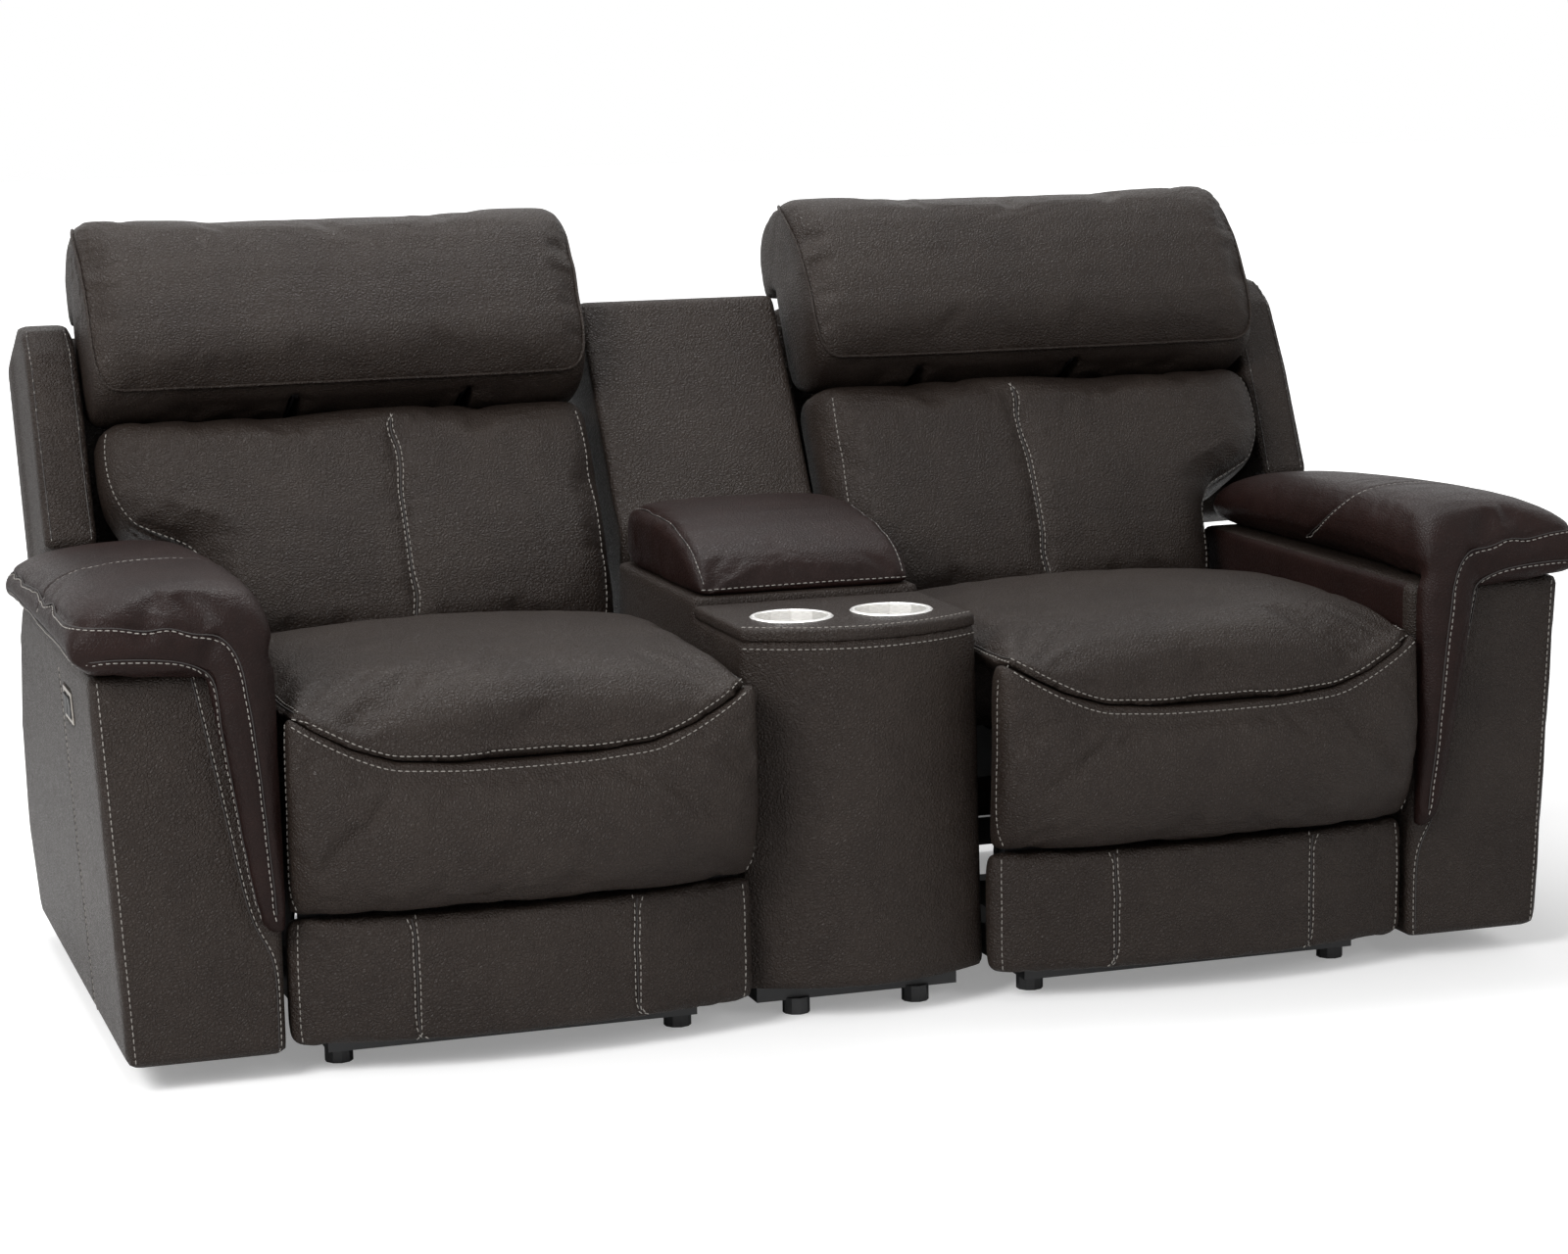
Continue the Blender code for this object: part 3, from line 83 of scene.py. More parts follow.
camera_data = bpy.data.cameras.new("camera")
camera_data.sensor_width = 36
camera_data.lens = camera_data.sensor_width * focal_pixels / picture_width
camera = bpy.data.objects.new("camera", camera_data)
bpy.context.scene.collection.objects.link(camera)
bpy.context.scene.camera = camera
ahead = Vector((sin(camera_yaw) * cos(camera_pitch), cos(camera_yaw) * cos(camera_pitch),
                -sin(camera_pitch)))
level = Vector((cos(camera_yaw), -sin(camera_yaw), 0))
above = level.cross(ahead)
across = level * cos(camera_roll) + above * sin(camera_roll)
upward = above * cos(camera_roll) - level * sin(camera_roll)
camera_turn = Matrix((across, upward, -ahead)).transposed().to_4x4()
camera.matrix_world = Matrix.Translation(camera_place) @ camera_turn
bpy.context.scene.view_settings.view_transform = "Standard"
print("lens:", round(camera_data.lens, 2), "mm")

# %% [markdown]
# Shader maths reads best as plain expressions. This small class wraps a socket of a node tree, so
# that adding or multiplying two of them puts the Math node in place.

# %% Shader maths
class Socket:
    def __init__(self, tree, link):
        self.tree, self.link = tree, link

    def node(self, kind, settings=None, inputs=None, output=0):
        made = self.tree.nodes.new(kind)
        for key, value in (settings or {}).items():
            setattr(made, key, value)
        for key, value in (inputs or {}).items():
            if isinstance(value, Socket):
                self.tree.links.new(value.link, made.inputs[key])
            else:
                made.inputs[key].default_value = value
        return Socket(self.tree, made.outputs[output])

    def maths(self, operation, *others):
        terms = dict(enumerate((self, *others)))
        return self.node("ShaderNodeMath", {"operation": operation}, terms)

    def __add__(self, other):
        return self.maths("ADD", other)

    def __radd__(self, other):
        return self.maths("ADD", other)

    def __sub__(self, other):
        return self.maths("SUBTRACT", other)

    def __rsub__(self, other):
        return self.node("ShaderNodeMath", {"operation": "SUBTRACT"}, {0: other, 1: self})

    def __mul__(self, other):
        return self.maths("MULTIPLY", other)

    def between(self, low, high):
        """0 below low, 1 above high, smooth between."""
        return self.node("ShaderNodeMapRange", {"interpolation_type": "SMOOTHSTEP"},
                         {"Value": self, "From Min": low, "From Max": high})

    def blend(self, one, two):
        """Colour one where this is 0, colour two where it is 1."""
        return self.node("ShaderNodeMix", {"data_type": "RGBA"}, {0: self, 6: one, 7: two}, 2)

# %% [markdown]
# Every finish starts from the same few things: a Principled shader with its plain values, the
# place of a point on the piece for the patterns to read, and noise, cells and bump that use it.

# %% Material helpers
def material(name, rough=0.5, metal=0.0, colour=(0.5, 0.5, 0.5), shine=0.5):
    made = bpy.data.materials.new(name)
    made.use_nodes = True
    shader = made.node_tree.nodes["Principled BSDF"]
    shader.inputs["Roughness"].default_value = rough
    shader.inputs["Metallic"].default_value = metal
    shader.inputs["Base Color"].default_value = (*colour, 1)
    shader.inputs["Specular IOR Level"].default_value = shine
    made.diffuse_color = (*colour, 1)
    place = made.node_tree.nodes.new("ShaderNodeTexCoord")
    return made, Socket(made.node_tree, place.outputs["Object"]), shader.inputs


def feed(socket, value):
    socket.id_data.links.new(value.link, socket)


def noise_at(place, scale, detail, rough=0.5):
    return place.node("ShaderNodeTexNoise", {}, {"Vector": place, "Scale": scale, "Detail": detail,
                                                 "Roughness": rough})


def cells_at(place, scale):
    """Distance to the border between cells that lie at random."""
    return place.node("ShaderNodeTexVoronoi", {"feature": "DISTANCE_TO_EDGE"},
                      {"Vector": place, "Scale": scale, "Randomness": 1})


def bump(height, strength, distance):
    return height.node("ShaderNodeBump", {}, {"Height": height, "Strength": strength,
                                              "Distance": distance})

# %% [markdown]
# The leather is a dark, corrected grain: pebbles of about five millimetres pressed into the skin,
# shinier on their tops than in the creases between them, and painted lighter on their tops as
# painted shade in the creases. Two layers of cells with a little noise in their places keep the
# pebbles from looking like tiles, and broad noise gives the hide its cloudy colour.

# %% Leather
pebbles_in_a_metre = 210
small_pebbles = pebbles_in_a_metre * 2.3


def leather(name, light, dark, rough, grain, shine):
    made, place, inputs = material(name, rough, colour=light, shine=shine)
    warp = place.node("ShaderNodeTexNoise", {}, {"Vector": place, "Scale": 90, "Detail": 1}, 1)
    spot = place.node("ShaderNodeVectorMath", {"operation": "MULTIPLY_ADD"},
                      {0: warp, 1: (0.004, 0.004, 0.004), 2: place})
    tops = cells_at(spot, pebbles_in_a_metre).between(0.0, 0.28)
    small = cells_at(spot, small_pebbles).between(0.0, 0.30)
    cloud = noise_at(place, 7, 4, 0.6)
    worn = noise_at(place, 38, 3, 0.6)
    # The hide's cloudy tone and wear, plus pebble tops painted lighter: painted shade in the
    # creases between pebbles.
    tone_and_crease_shade = cloud.between(0.30, 0.72) * 0.55 + worn.between(0.35, 0.70) * 0.20 + tops * 0.25
    feed(inputs["Base Color"], tone_and_crease_shade.blend((*dark, 1), (*light, 1)))
    feed(inputs["Roughness"], rough + 0.12 - tops * 0.14 + worn * 0.10 - 0.05)
    height = tops * 0.7 + small * 0.3 + worn * 0.6
    feed(inputs["Normal"], bump(height, grain, 0.0012))
    return made


grained_leather = leather("grained_leather", (0.0240, 0.0175, 0.0140), (0.0130, 0.0085, 0.0065),
                          rough=0.36, grain=0.90, shine=0.18)
pad_leather = leather("pad_leather", (0.0130, 0.0055, 0.0045), (0.0065, 0.0028, 0.0023),
                      rough=0.40, grain=0.35, shine=0.12)

# %% [markdown]
# Thread is grey polyester, twisted, so it is striped across. The cord laid in a seam for the folded
# edge of the leather is nearly black: painted shade in the seam's groove.

# %% Thread and painted seam shade
def thread_material():
    made, place, inputs = material("grey_thread", 0.6, colour=(0.23, 0.215, 0.19))
    twist = noise_at(place, 900, 1).between(0.3, 0.7)
    feed(inputs["Base Color"], twist.blend((0.12, 0.11, 0.10, 1), (0.23, 0.215, 0.195, 1)))
    return made


def seam_shadow_material():
    # Nearly black: painted shade in a seam's groove, not the leather's own colour.
    made, place, inputs = material("leather_fold", 0.6, colour=(0.012, 0.009, 0.008))
    feed(inputs["Roughness"], 0.5 + noise_at(place, 60, 2) * 0.25)
    return made


thread = thread_material()
painted_groove = seam_shadow_material()

# %% [markdown]
# The hardware under the leather: black coated steel, bare plywood and black plastic. Each has a
# pattern at its own scale, the coat's fine dimples, the wood's long streaks, the plastic's grain.

# %% Coated steel, plywood and plastic
def coated_steel():
    made, place, inputs = material("black_coat", 0.45, 0.0, (0.016, 0.016, 0.017))
    orange_peel = noise_at(place, 320, 2)
    wear = noise_at(place, 24, 4)
    feed(inputs["Base Color"],
         wear.between(0.55, 0.75).blend((0.014, 0.014, 0.015, 1), (0.028, 0.027, 0.026, 1)))
    feed(inputs["Roughness"], 0.36 + wear * 0.2)
    feed(inputs["Normal"], bump(orange_peel, 0.15, 0.0004))
    return made


def plywood():
    made, place, inputs = material("bare_plywood", 0.65, colour=(0.45, 0.30, 0.17))
    grain = place.node("ShaderNodeMapping", {}, {"Vector": place, "Scale": (6, 60, 90)})
    streaks = noise_at(grain, 1, 6, 0.6)
    feed(inputs["Base Color"],
         streaks.between(0.3, 0.7).blend((0.33, 0.20, 0.10, 1), (0.56, 0.39, 0.23, 1)))
    feed(inputs["Roughness"], 0.58 + streaks * 0.16)
    feed(inputs["Normal"], bump(streaks, 0.2, 0.0004))
    return made


def black_plastic():
    made, place, inputs = material("moulded_plastic", 0.5, colour=(0.012, 0.012, 0.012))
    texture = noise_at(place, 1400, 1)
    feed(inputs["Roughness"], 0.42 + texture * 0.16)
    feed(inputs["Normal"], bump(texture, 0.2, 0.0002))
    return made


steel_coat = coated_steel()
bare_plywood = plywood()
moulded_plastic = black_plastic()

# %% [markdown]
# The cups and the switch plates are brushed stainless steel. Brushing leaves fine lines: they run
# round a cup, so its noise reads the distance from the cup's axis, and along a plate.

# %% Brushed steel
def brushed(name, colour, rough, centre=None):
    """Fine lines: round the cup's axis where a centre is given, otherwise along the piece."""
    made, place, inputs = material(name, rough, 1.0, colour)
    if centre:
        x, y = centre
        local = place.node("ShaderNodeMapping", {}, {"Vector": place, "Location": (-x, -y, 0)})
        flat = place.node("ShaderNodeVectorMath", {"operation": "MULTIPLY"},
                          {0: local, 1: (1, 1, 0)})
        radius = place.node("ShaderNodeVectorMath", {"operation": "LENGTH"}, {0: flat}, 1)
        height = place.node("ShaderNodeSeparateXYZ", {}, {0: place}, 2)
        line = place.node("ShaderNodeCombineXYZ", {}, {0: radius, 1: height})
    else:
        line = place.node("ShaderNodeMapping", {}, {"Vector": place, "Scale": (1, 0.02, 1)})
    streak = noise_at(line, 1300, 2)
    pale = tuple(min(1, c * 1.1) for c in colour)
    deep = tuple(c * 0.85 for c in colour)
    feed(inputs["Base Color"], streak.between(0.3, 0.7).blend((*deep, 1), (*pale, 1)))
    feed(inputs["Roughness"], rough - 0.05 + streak * 0.14)
    return made


switch_steel = brushed("switch_steel", (0.42, 0.39, 0.35), 0.35)

# %% [markdown]
# The studio: a pale floor, a sky that is white to the camera, to metal and to glass, and three
# soft lamps, the strongest on the left, one high above the backs and a weak one in front. The floor
# glows for the camera only, less near the loveseat than far from it, so that it is white up to the
# horizon and still takes the shadow.

# %% Studio
near_floor, far_floor = 1.2, 3.2
near_glow, far_glow = 0.26, 0.85


def grey(level):
    return (level, level, level, 1)


def pale_floor():
    made, place, inputs = material("pale_floor", 0.9, colour=(0.86, 0.86, 0.86))
    seen_by_camera = place.node("ShaderNodeLightPath", {}, {}, "Is Camera Ray")
    away = place.node("ShaderNodeVectorMath", {"operation": "LENGTH"}, {0: place}, 1)
    glow = away.between(near_floor, far_floor).blend(grey(near_glow), grey(far_glow))
    inputs["Emission Strength"].default_value = 1
    feed(inputs["Emission Color"], seen_by_camera.blend(grey(0), glow))
    return made


floor_drop = -0.0005
bpy.ops.object.select_all(action="DESELECT")
bpy.ops.mesh.primitive_plane_add(size=60, location=(0, 0, floor_drop))
floor = bpy.context.object
floor.name = "floor"
floor.data.materials.append(pale_floor())
print("floor:", near_glow, "to", far_glow, "of its own light")

# %% [markdown]
# The sky lights the piece evenly from all sides and the lamps give it its form. Rays from the
# camera, and those that metal or glass sends on, see the sky at full white.

# %% Sky and lamps
world = bpy.context.scene.world or bpy.data.worlds.new("studio")
bpy.context.scene.world = world
world.use_nodes = True
sky = world.node_tree
sky.nodes.clear()
rays = sky.nodes.new("ShaderNodeLightPath").outputs
seen = Socket(sky, rays["Is Camera Ray"]).maths("MAXIMUM", Socket(sky, rays["Is Glossy Ray"]))
seen = seen.maths("MAXIMUM", Socket(sky, rays["Is Transmission Ray"]))
sky_light = 0.46
strength = sky_light + seen * (1 - sky_light)
backdrop = sky.nodes.new("ShaderNodeBackground")
sky.links.new(strength.link, backdrop.inputs["Strength"])
backdrop.inputs["Color"].default_value = (1, 1, 1, 1)
sky_out = sky.nodes.new("ShaderNodeOutputWorld")
sky.links.new(backdrop.outputs[0], sky_out.inputs["Surface"])

lamp_aim = Vector((0, 0, 0.5))


def lamp(name, place, size, power):
    data = bpy.data.lights.new(name, "AREA")
    data.shape = "RECTANGLE"
    data.size, data.size_y = size
    data.energy = power
    made = bpy.data.objects.new(name, data)
    bpy.context.scene.collection.objects.link(made)
    turn = (lamp_aim - Vector(place)).to_track_quat("-Z", "Y").to_matrix().to_4x4()
    made.matrix_world = Matrix.Translation(place) @ turn


lamp("softbox_left", (-2.9, -2.4, 2.5), (1.6, 1.4), 145)
lamp("softbox_front", (1.6, -4.4, 2.6), (2.4, 1.4), 42)
lamp("softbox_top", (-0.3, 0.7, 3.0), (2.8, 0.8), 70)

# %% [markdown]
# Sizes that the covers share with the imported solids: where a seat's middle is, how far its back
# leans, and where the seams run. The right-hand half is made, and the left-hand one mirrors it.

# %% Shared sizes
seat_middle = 0.455
half_seat = 0.287
arm_front = -0.4625
back_hinge = (0.1875, 0.300)
back_tilt = radians(26.5)


def on_back(x, forward, up):
    """A point in the back's own upright frame, placed as the back leans at rest."""
    return Vector((seat_middle + x, back_hinge[0] + up * sin(back_tilt) - forward * cos(back_tilt),
                   back_hinge[1] + up * cos(back_tilt) + forward * sin(back_tilt)))


def along_back(x, forward, up):
    """A direction in the back's own upright frame."""
    return on_back(x, forward, up) - on_back(0, 0, 0)


def bell(x):
    """1 at 0, falling softly on both sides."""
    return exp(-x * x)

# %% [markdown]
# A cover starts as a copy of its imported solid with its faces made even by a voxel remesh, because
# cloth needs faces of one size. It is smoothed, drawn in a little, and then blown up as cloth
# against the vertices that are sewn or rest on the frame, which gives the swell of real upholstery.

# %% Covers
covers = []
cover_thickness = 0.0008
hard_puff = 0.002              # a cover that swells less than this lies on a board, and isn't cloth
soften = {"leather": grained_leather, "pad_leather": pad_leather}


def cover_from(node, name, body, skin, voxel, rounds=2, sewn=(), resting=None, puff=0.001,
               fill=0.5):
    piece = only(new_piece(name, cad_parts[node].data.copy()))
    piece.data.materials.clear()
    bpy.ops.object.mode_set(mode="EDIT")
    bpy.ops.mesh.select_all(action="SELECT")
    bpy.ops.mesh.remove_doubles(threshold=1e-5)
    bpy.ops.object.mode_set(mode="OBJECT")
    even = piece.modifiers.new("even faces", "REMESH")
    even.mode = "VOXEL"
    even.voxel_size = voxel
    soft = piece.modifiers.new("soft edges", "SMOOTH")
    soft.iterations = rounds
    soft.factor = 0.5
    swell = piece.modifiers.new("leather thickness", "DISPLACE")
    swell.strength = cover_thickness
    swell.mid_level = 0
    apply_all(piece)
    piece.data.materials.append(soften[skin])
    covers.append({"piece": piece, "node": node, "body": body, "skin": skin, "sewn": sewn,
                   "resting": resting, "puff": puff, "fill": fill})
    return piece

# %% [markdown]
# A seam pulls the leather into the padding. A smooth groove along the line, deepest on it and a
# little puckered, gives that on the cover's own vertices, without cutting the mesh.

# %% Press a seam
fine_pitch = 0.003


def line_tree(lines):
    """The points of some lines, close together, for finding the nearest one."""
    spots = []
    for line in lines:
        for a, b in zip(line, line[1:]):
            steps = max(1, int((b - a).length / fine_pitch))
            spots += [a.lerp(b, k / steps) for k in range(steps + 1)]
    tree = KDTree(len(spots))
    for k, spot in enumerate(spots):
        tree.insert(spot, k)
    tree.balance()
    return tree


def read_points(piece):
    """Places and normals of a piece's vertices, as arrays."""
    count = len(piece.data.vertices)
    spots, normals = np.empty(count * 3), np.empty(count * 3)
    piece.data.vertices.foreach_get("co", spots)
    piece.data.vertices.foreach_get("normal", normals)
    return spots.reshape(-1, 3), normals.reshape(-1, 3)


def write_points(piece, spots):
    piece.data.vertices.foreach_set("co", spots.ravel())
    piece.data.update()


def press(piece, line, depth, width):
    """Press a puckered groove along a line into a piece's surface."""
    tree = line_tree([line])
    spots, normals = read_points(piece)
    corners = np.array([tuple(p) for p in line])
    reach = width * 5
    near = np.all((spots > corners.min(0) - reach) & (spots < corners.max(0) + reach), axis=1)
    for k in np.flatnonzero(near):
        far = tree.find(spots[k])[2]
        if far < reach:
            pucker = noise.noise(Vector(spots[k]) * 70) * depth * 0.25 * bell(far / width / 3)
            spots[k] -= normals[k] * (depth * bell(far / width) + pucker)
    write_points(piece, spots)

# %% [markdown]
# Cloth with air pressed into it finds the form of upholstery by itself. Twenty frames without
# gravity are enough for the swell, and the vertices that are sewn or lie on the frame are pinned.
# How far the leather may move is capped, because neighbours stand close beside it.

# %% Cloth
cloth_frames, pin_radius = 20, 0.008


def blow_up(soft_covers):
    """Simulate some covers together as cloth under pressure."""
    scene = bpy.context.scene
    for cover in soft_covers:
        piece = cover["piece"]
        cover["rest"] = [v.co.copy() for v in piece.data.vertices]
        pinned = set()
        if cover["sewn"]:
            tree = line_tree(cover["sewn"])
            pinned |= {v.index for v in piece.data.vertices if tree.find(v.co)[2] < pin_radius}
        if cover["resting"]:
            pinned |= {v.index for v in piece.data.vertices if cover["resting"](v.co)}
        group = piece.vertex_groups.new(name="pinned")
        group.add(list(pinned), 1, "REPLACE")
        cloth = piece.modifiers.new("cloth", "CLOTH")
        cloth.settings.quality = 5
        cloth.settings.use_pressure = True
        cloth.settings.uniform_pressure_force = 4
        cloth.settings.effector_weights.gravity = 0
        cloth.settings.shrink_min = -0.02
        cloth.settings.vertex_group_mass = "pinned"
        cloth.collision_settings.use_collision = False
        cloth.point_cache.frame_start, cloth.point_cache.frame_end = 1, cloth_frames
    for step in range(1, cloth_frames + 1):
        scene.frame_set(step)
    for cover in soft_covers:
        apply_all(cover["piece"])
    scene.frame_set(1)


sideways_share = 0.15


def settle(cover):
    """Cap how far the cloth moved, and most of all sideways, where a neighbour stands."""
    piece = cover["piece"]
    cap = cover["puff"]
    moved = 0
    for vertex, rest in zip(piece.data.vertices, cover["rest"]):
        way = vertex.co - rest
        if way.length > cap:
            way *= cap / way.length
        way.x *= sideways_share
        vertex.co = rest + way
        moved = max(moved, way.length)
    return moved

# %% [markdown]
# The seat cushion is foam with a crowned top. Its cover is sewn along the contour seam in front and
# along both sides, and it rests on the springs.

# %% Seat cushions, front drops and lower panels
seam_front, seam_bow = -0.515, 0.016
seam_low, seam_rise, seam_knee = 0.381, 0.071, 0.172


def seam_height(x):
    """Height of the contour seam: level in the middle, rising towards both corners."""
    return seam_low + seam_rise * max(0.0, (abs(x) - seam_knee) / (half_seat - seam_knee))


def bow(x):
    return 1 - (x / half_seat) ** 2


def across_seat(count=33, reach=0.99):
    return [half_seat * reach * (2 * k / (count - 1) - 1) for k in range(count)]


contour = [Vector((seat_middle + x, seam_front + seam_bow * (1 - bow(x)), seam_height(x)))
           for x in across_seat()]
cover_from("seat_cushion_right", "seat_cover_right", "right_seat", "leather", 0.009,
           sewn=[contour], resting=lambda p: p.z < 0.335 or p.y > 0.045, puff=0.010, fill=0.7)
cover_from("front_drop_right", "drop_cover_right", "right_footrest", "leather", 0.008,
           sewn=[contour], resting=lambda p: p.y > -0.44, puff=0.007, fill=0.7)
cover_from("lower_panel_right", "lower_cover_right", "right_footrest", "leather", 0.006,
           resting=lambda p: p.y > -0.44, puff=0.003, fill=0.7)

# %% [markdown]
# The back has three soft parts: the lumbar cushion with an ear over the arm's pad, the headrest
# roll above it, and the padded shell behind, whose wing closes the outer side.

# %% Backs and headrests
def forward_of(p):
    """How far a point lies in front of the back's hinge, across the leaning back."""
    return (p.z - back_hinge[1]) * sin(back_tilt) - (p.y - back_hinge[0]) * cos(back_tilt)


lumbar_line = [on_back(0, 0.19, up) for up in (0.085, 0.16, 0.25, 0.33, 0.385)]
cover_from("back_cushion_right", "lumbar_cover_right", "right_back", "leather", 0.009,
           sewn=[lumbar_line], resting=lambda p: forward_of(p) < 0.05, puff=0.008, fill=0.7)
cover_from("headrest_cushion_right", "headrest_cover_right", "right_headrest", "leather", 0.009,
           resting=lambda p: forward_of(p) < 0.06, puff=0.008, fill=0.7)
cover_from("back_shell_right", "shell_cover_right", "right_back", "leather", 0.007, fill=0.7)
cover_from("rear_apron_right", "apron_cover_right", "frame", "leather", 0.005, rounds=1)

# %% [markdown]
# An arm is a hard box in thin padded leather, with a thick pillow pad on it in a smoother, redder
# leather. The pad's nose rolls over the front and runs down the inner edge.

# %% Arms and console
casing = cover_from("arm_casing_right", "arm_cover_right", "frame", "leather", 0.007)
cover_from("arm_pad_right", "pad_cover_right", "frame", "pad_leather", 0.0075, rounds=3,
           resting=lambda p: p.z < 0.51 and p.y > -0.46, puff=0.010, fill=0.7)
cover_from("console_casing", "console_cover", "frame", "leather", 0.006)
cover_from("console_deck", "deck_cover", "frame", "leather", 0.003, rounds=6, puff=0.0005)
cover_from("console_back", "middle_cover", "frame", "leather", 0.006)
cover_from("lid_pad", "lid_cover", "lid", "pad_leather", 0.007, rounds=3,
           resting=lambda p: p.z < 0.516, puff=0.004, fill=0.7)
print(len(covers), "covers")

# %% [markdown]
# Blowing up all soft covers in one run lets Blender work on them side by side. The covers of
# boards and panels stay as they are.

# %% Blow the covers up
soft_covers = [cover for cover in covers if cover["puff"] > hard_puff]
blow_up(soft_covers)
for cover in soft_covers:
    print(cover["piece"].name, "moved at most", round(settle(cover) * 1000, 1), "mm")

# %% [markdown]
# One subdivision smooths the soft covers, so that the seams can be pressed into a fine surface.

# %% Smooth the covers
by_name = {}
for cover in covers:
    piece = cover["piece"]
    if cover["puff"] > hard_puff:
        fine = piece.modifiers.new("fine", "SUBSURF")
        fine.levels = fine.render_levels = 1
        apply_all(piece)
    piece.data.shade_smooth()
    for group in list(piece.vertex_groups):
        piece.vertex_groups.remove(group)
    by_name[piece.name] = cover
print({name: len(cover["piece"].data.polygons) for name, cover in by_name.items()})

# %% [markdown]
# Where the seat and the front drop are sewn together the cloth is tight, so the two covers come
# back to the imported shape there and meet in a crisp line.

# %% Tight seam between seat and drop
def surface(piece):
    """A search tree of a piece's faces."""
    mesh = bmesh.new()
    mesh.from_mesh(piece.data)
    tree = BVHTree.FromBMesh(mesh)
    mesh.free()
    return tree


tight_radius, gather_radius, gather_share = 0.030, 0.010, 0.6


def tighten(cover_name, line):
    """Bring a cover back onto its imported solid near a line, and its edge towards the line."""
    cover = by_name[cover_name]
    solid, tree = surface(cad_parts[cover["node"]]), line_tree([line])
    spots, _ = read_points(cover["piece"])
    corners = np.array([tuple(p) for p in line])
    low, high = corners.min(0) - tight_radius, corners.max(0) + tight_radius
    for k in np.flatnonzero(np.all((spots > low) & (spots < high), axis=1)):
        far = tree.find(spots[k])[2] / tight_radius
        if far < 1:
            spot, normal = solid.find_nearest(spots[k])[:2]
            spot = np.array(tuple(spot + normal * cover_thickness))
            spots[k] += (spot - spots[k]) * min(1, 2 - 2 * far)
            edge, _, away = tree.find(spots[k])
            if away < gather_radius:
                pull = gather_share * (1 - away / gather_radius)
                spots[k] += (np.array(tuple(edge)) - spots[k]) * pull
    write_points(cover["piece"], spots)


seat_solid = surface(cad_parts["seat_cushion_right"])
drop_solid = surface(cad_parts["front_drop_right"])
seam_line = [(seat_solid.find_nearest(p)[0] + drop_solid.find_nearest(p)[0]) / 2 for p in contour]
print("contour seam:", [tuple(round(c, 4) for c in seam_line[k]) for k in (0, 8, 16, 24, 32)])
tighten("seat_cover_right", seam_line)
tighten("drop_cover_right", seam_line)

# %% [markdown]
# Filled upholstery presses against its neighbour. The seat, the drop and the lower panel swell
# towards the console, and the lumbar cushion's top reaches up to the headrest.

# %% Close the gaps
def widen(cover_name, amount):
    """Swell a cover's side towards the console, where the photograph shows no gap."""
    piece = by_name[cover_name]["piece"]
    spots, _ = read_points(piece)
    share = np.clip((seat_middle - spots[:, 0]) / half_seat, 0, 1)
    spots[:, 0] -= amount * share ** 4
    write_points(piece, spots)


seat_swell, drop_swell = 0.005, 0.011
widen("seat_cover_right", seat_swell)
widen("drop_cover_right", drop_swell)
widen("lower_cover_right", drop_swell)


def lift_top(cover_name, low, high, amount):
    """Raise a back cushion's top edge along the leaning back."""
    piece = by_name[cover_name]["piece"]
    spots, _ = read_points(piece)
    rise = (spots[:, 2] - back_hinge[1]) * cos(back_tilt)
    along = (spots[:, 1] - back_hinge[0]) * sin(back_tilt) + rise
    share = np.clip((along - low) / (high - low), 0, 1)
    spots[:, 1] += amount * share * sin(back_tilt)
    spots[:, 2] += amount * share * cos(back_tilt)
    write_points(piece, spots)


lift_top("lumbar_cover_right", low=0.33, high=0.40, amount=0.005)

# %% [markdown]
# The switch plate lies flush in the arm's outer side, so the arm's cover sinks in behind it. The
# arm's inner side, above the seat, is cut from the pad's leather.

# %% The arm's two sides
def recess(piece, low, high, way):
    """Push the part of a cover that lies inside a box, so that the plate behind it shows."""
    spots, _ = read_points(piece)
    spots[np.all((spots > low) & (spots < high), axis=1)] += way
    write_points(piece, spots)


plate_low, plate_high = (0.93, -0.2955, 0.4190), (0.98, -0.2185, 0.4640)
plate_depth = 0.007
recess(casing, plate_low, plate_high, (-plate_depth, 0, 0))
casing.data.materials.append(pad_leather)
for face in casing.data.polygons:
    if face.normal.x < -0.5 and face.center.z > 0.30 and face.center.y > -0.44:
        face.material_index = 1

# %% [markdown]
# Leather over loose filling wrinkles where it is bent or pulled. A patch of wrinkles is a bundle
# of soft valleys that run one way, strongest in the middle of the patch.

# %% Wrinkles
def crumple(cover_name, centre, along, radius, depth, pitch):
    """Wrinkles round a point: valleys along a direction, one every pitch or so."""
    reach = 1.6
    piece = by_name[cover_name]["piece"]
    spots, normals = read_points(piece)
    centre, along = np.array(tuple(centre)), np.array(tuple(Vector(along).normalized()))
    far = np.linalg.norm(spots - centre, axis=1) / radius
    for k in np.flatnonzero(far < reach):
        side = np.cross(normals[k], along)
        wave = noise.noise(Vector((spots[k] @ side / pitch, spots[k] @ along / pitch / 5, 0)))
        spots[k] -= normals[k] * depth * bell(wave * 4) * exp(-2 * far[k] ** 2)
    write_points(piece, spots)


crumple("lumbar_cover_right", on_back(0.05, 0.18, 0.39), along_back(0.2, 0, 1),
        0.12, 0.0016, 0.030)
crumple("lumbar_cover_right", on_back(-0.20, 0.18, 0.37), along_back(-0.6, 0, 1),
        0.10, 0.0015, 0.028)
crumple("lumbar_cover_right", on_back(0.34, 0.17, 0.27), along_back(1, 0, 0.6),
        0.10, 0.0028, 0.026)
crumple("headrest_cover_right", on_back(0.39, 0.12, 0.62), (0, 1, 0.2), 0.11, 0.0030, 0.030)
crumple("headrest_cover_right", on_back(-0.28, 0.12, 0.62), (0, 1, 0.2), 0.08, 0.0020, 0.028)
crumple("headrest_cover_right", on_back(0.05, 0.16, 0.68), (0.3, 0, 1), 0.18, 0.0012, 0.045)
crumple("pad_cover_right", (0.87, -0.49, 0.545), (0.2, 0, 1), 0.08, 0.0010, 0.026)
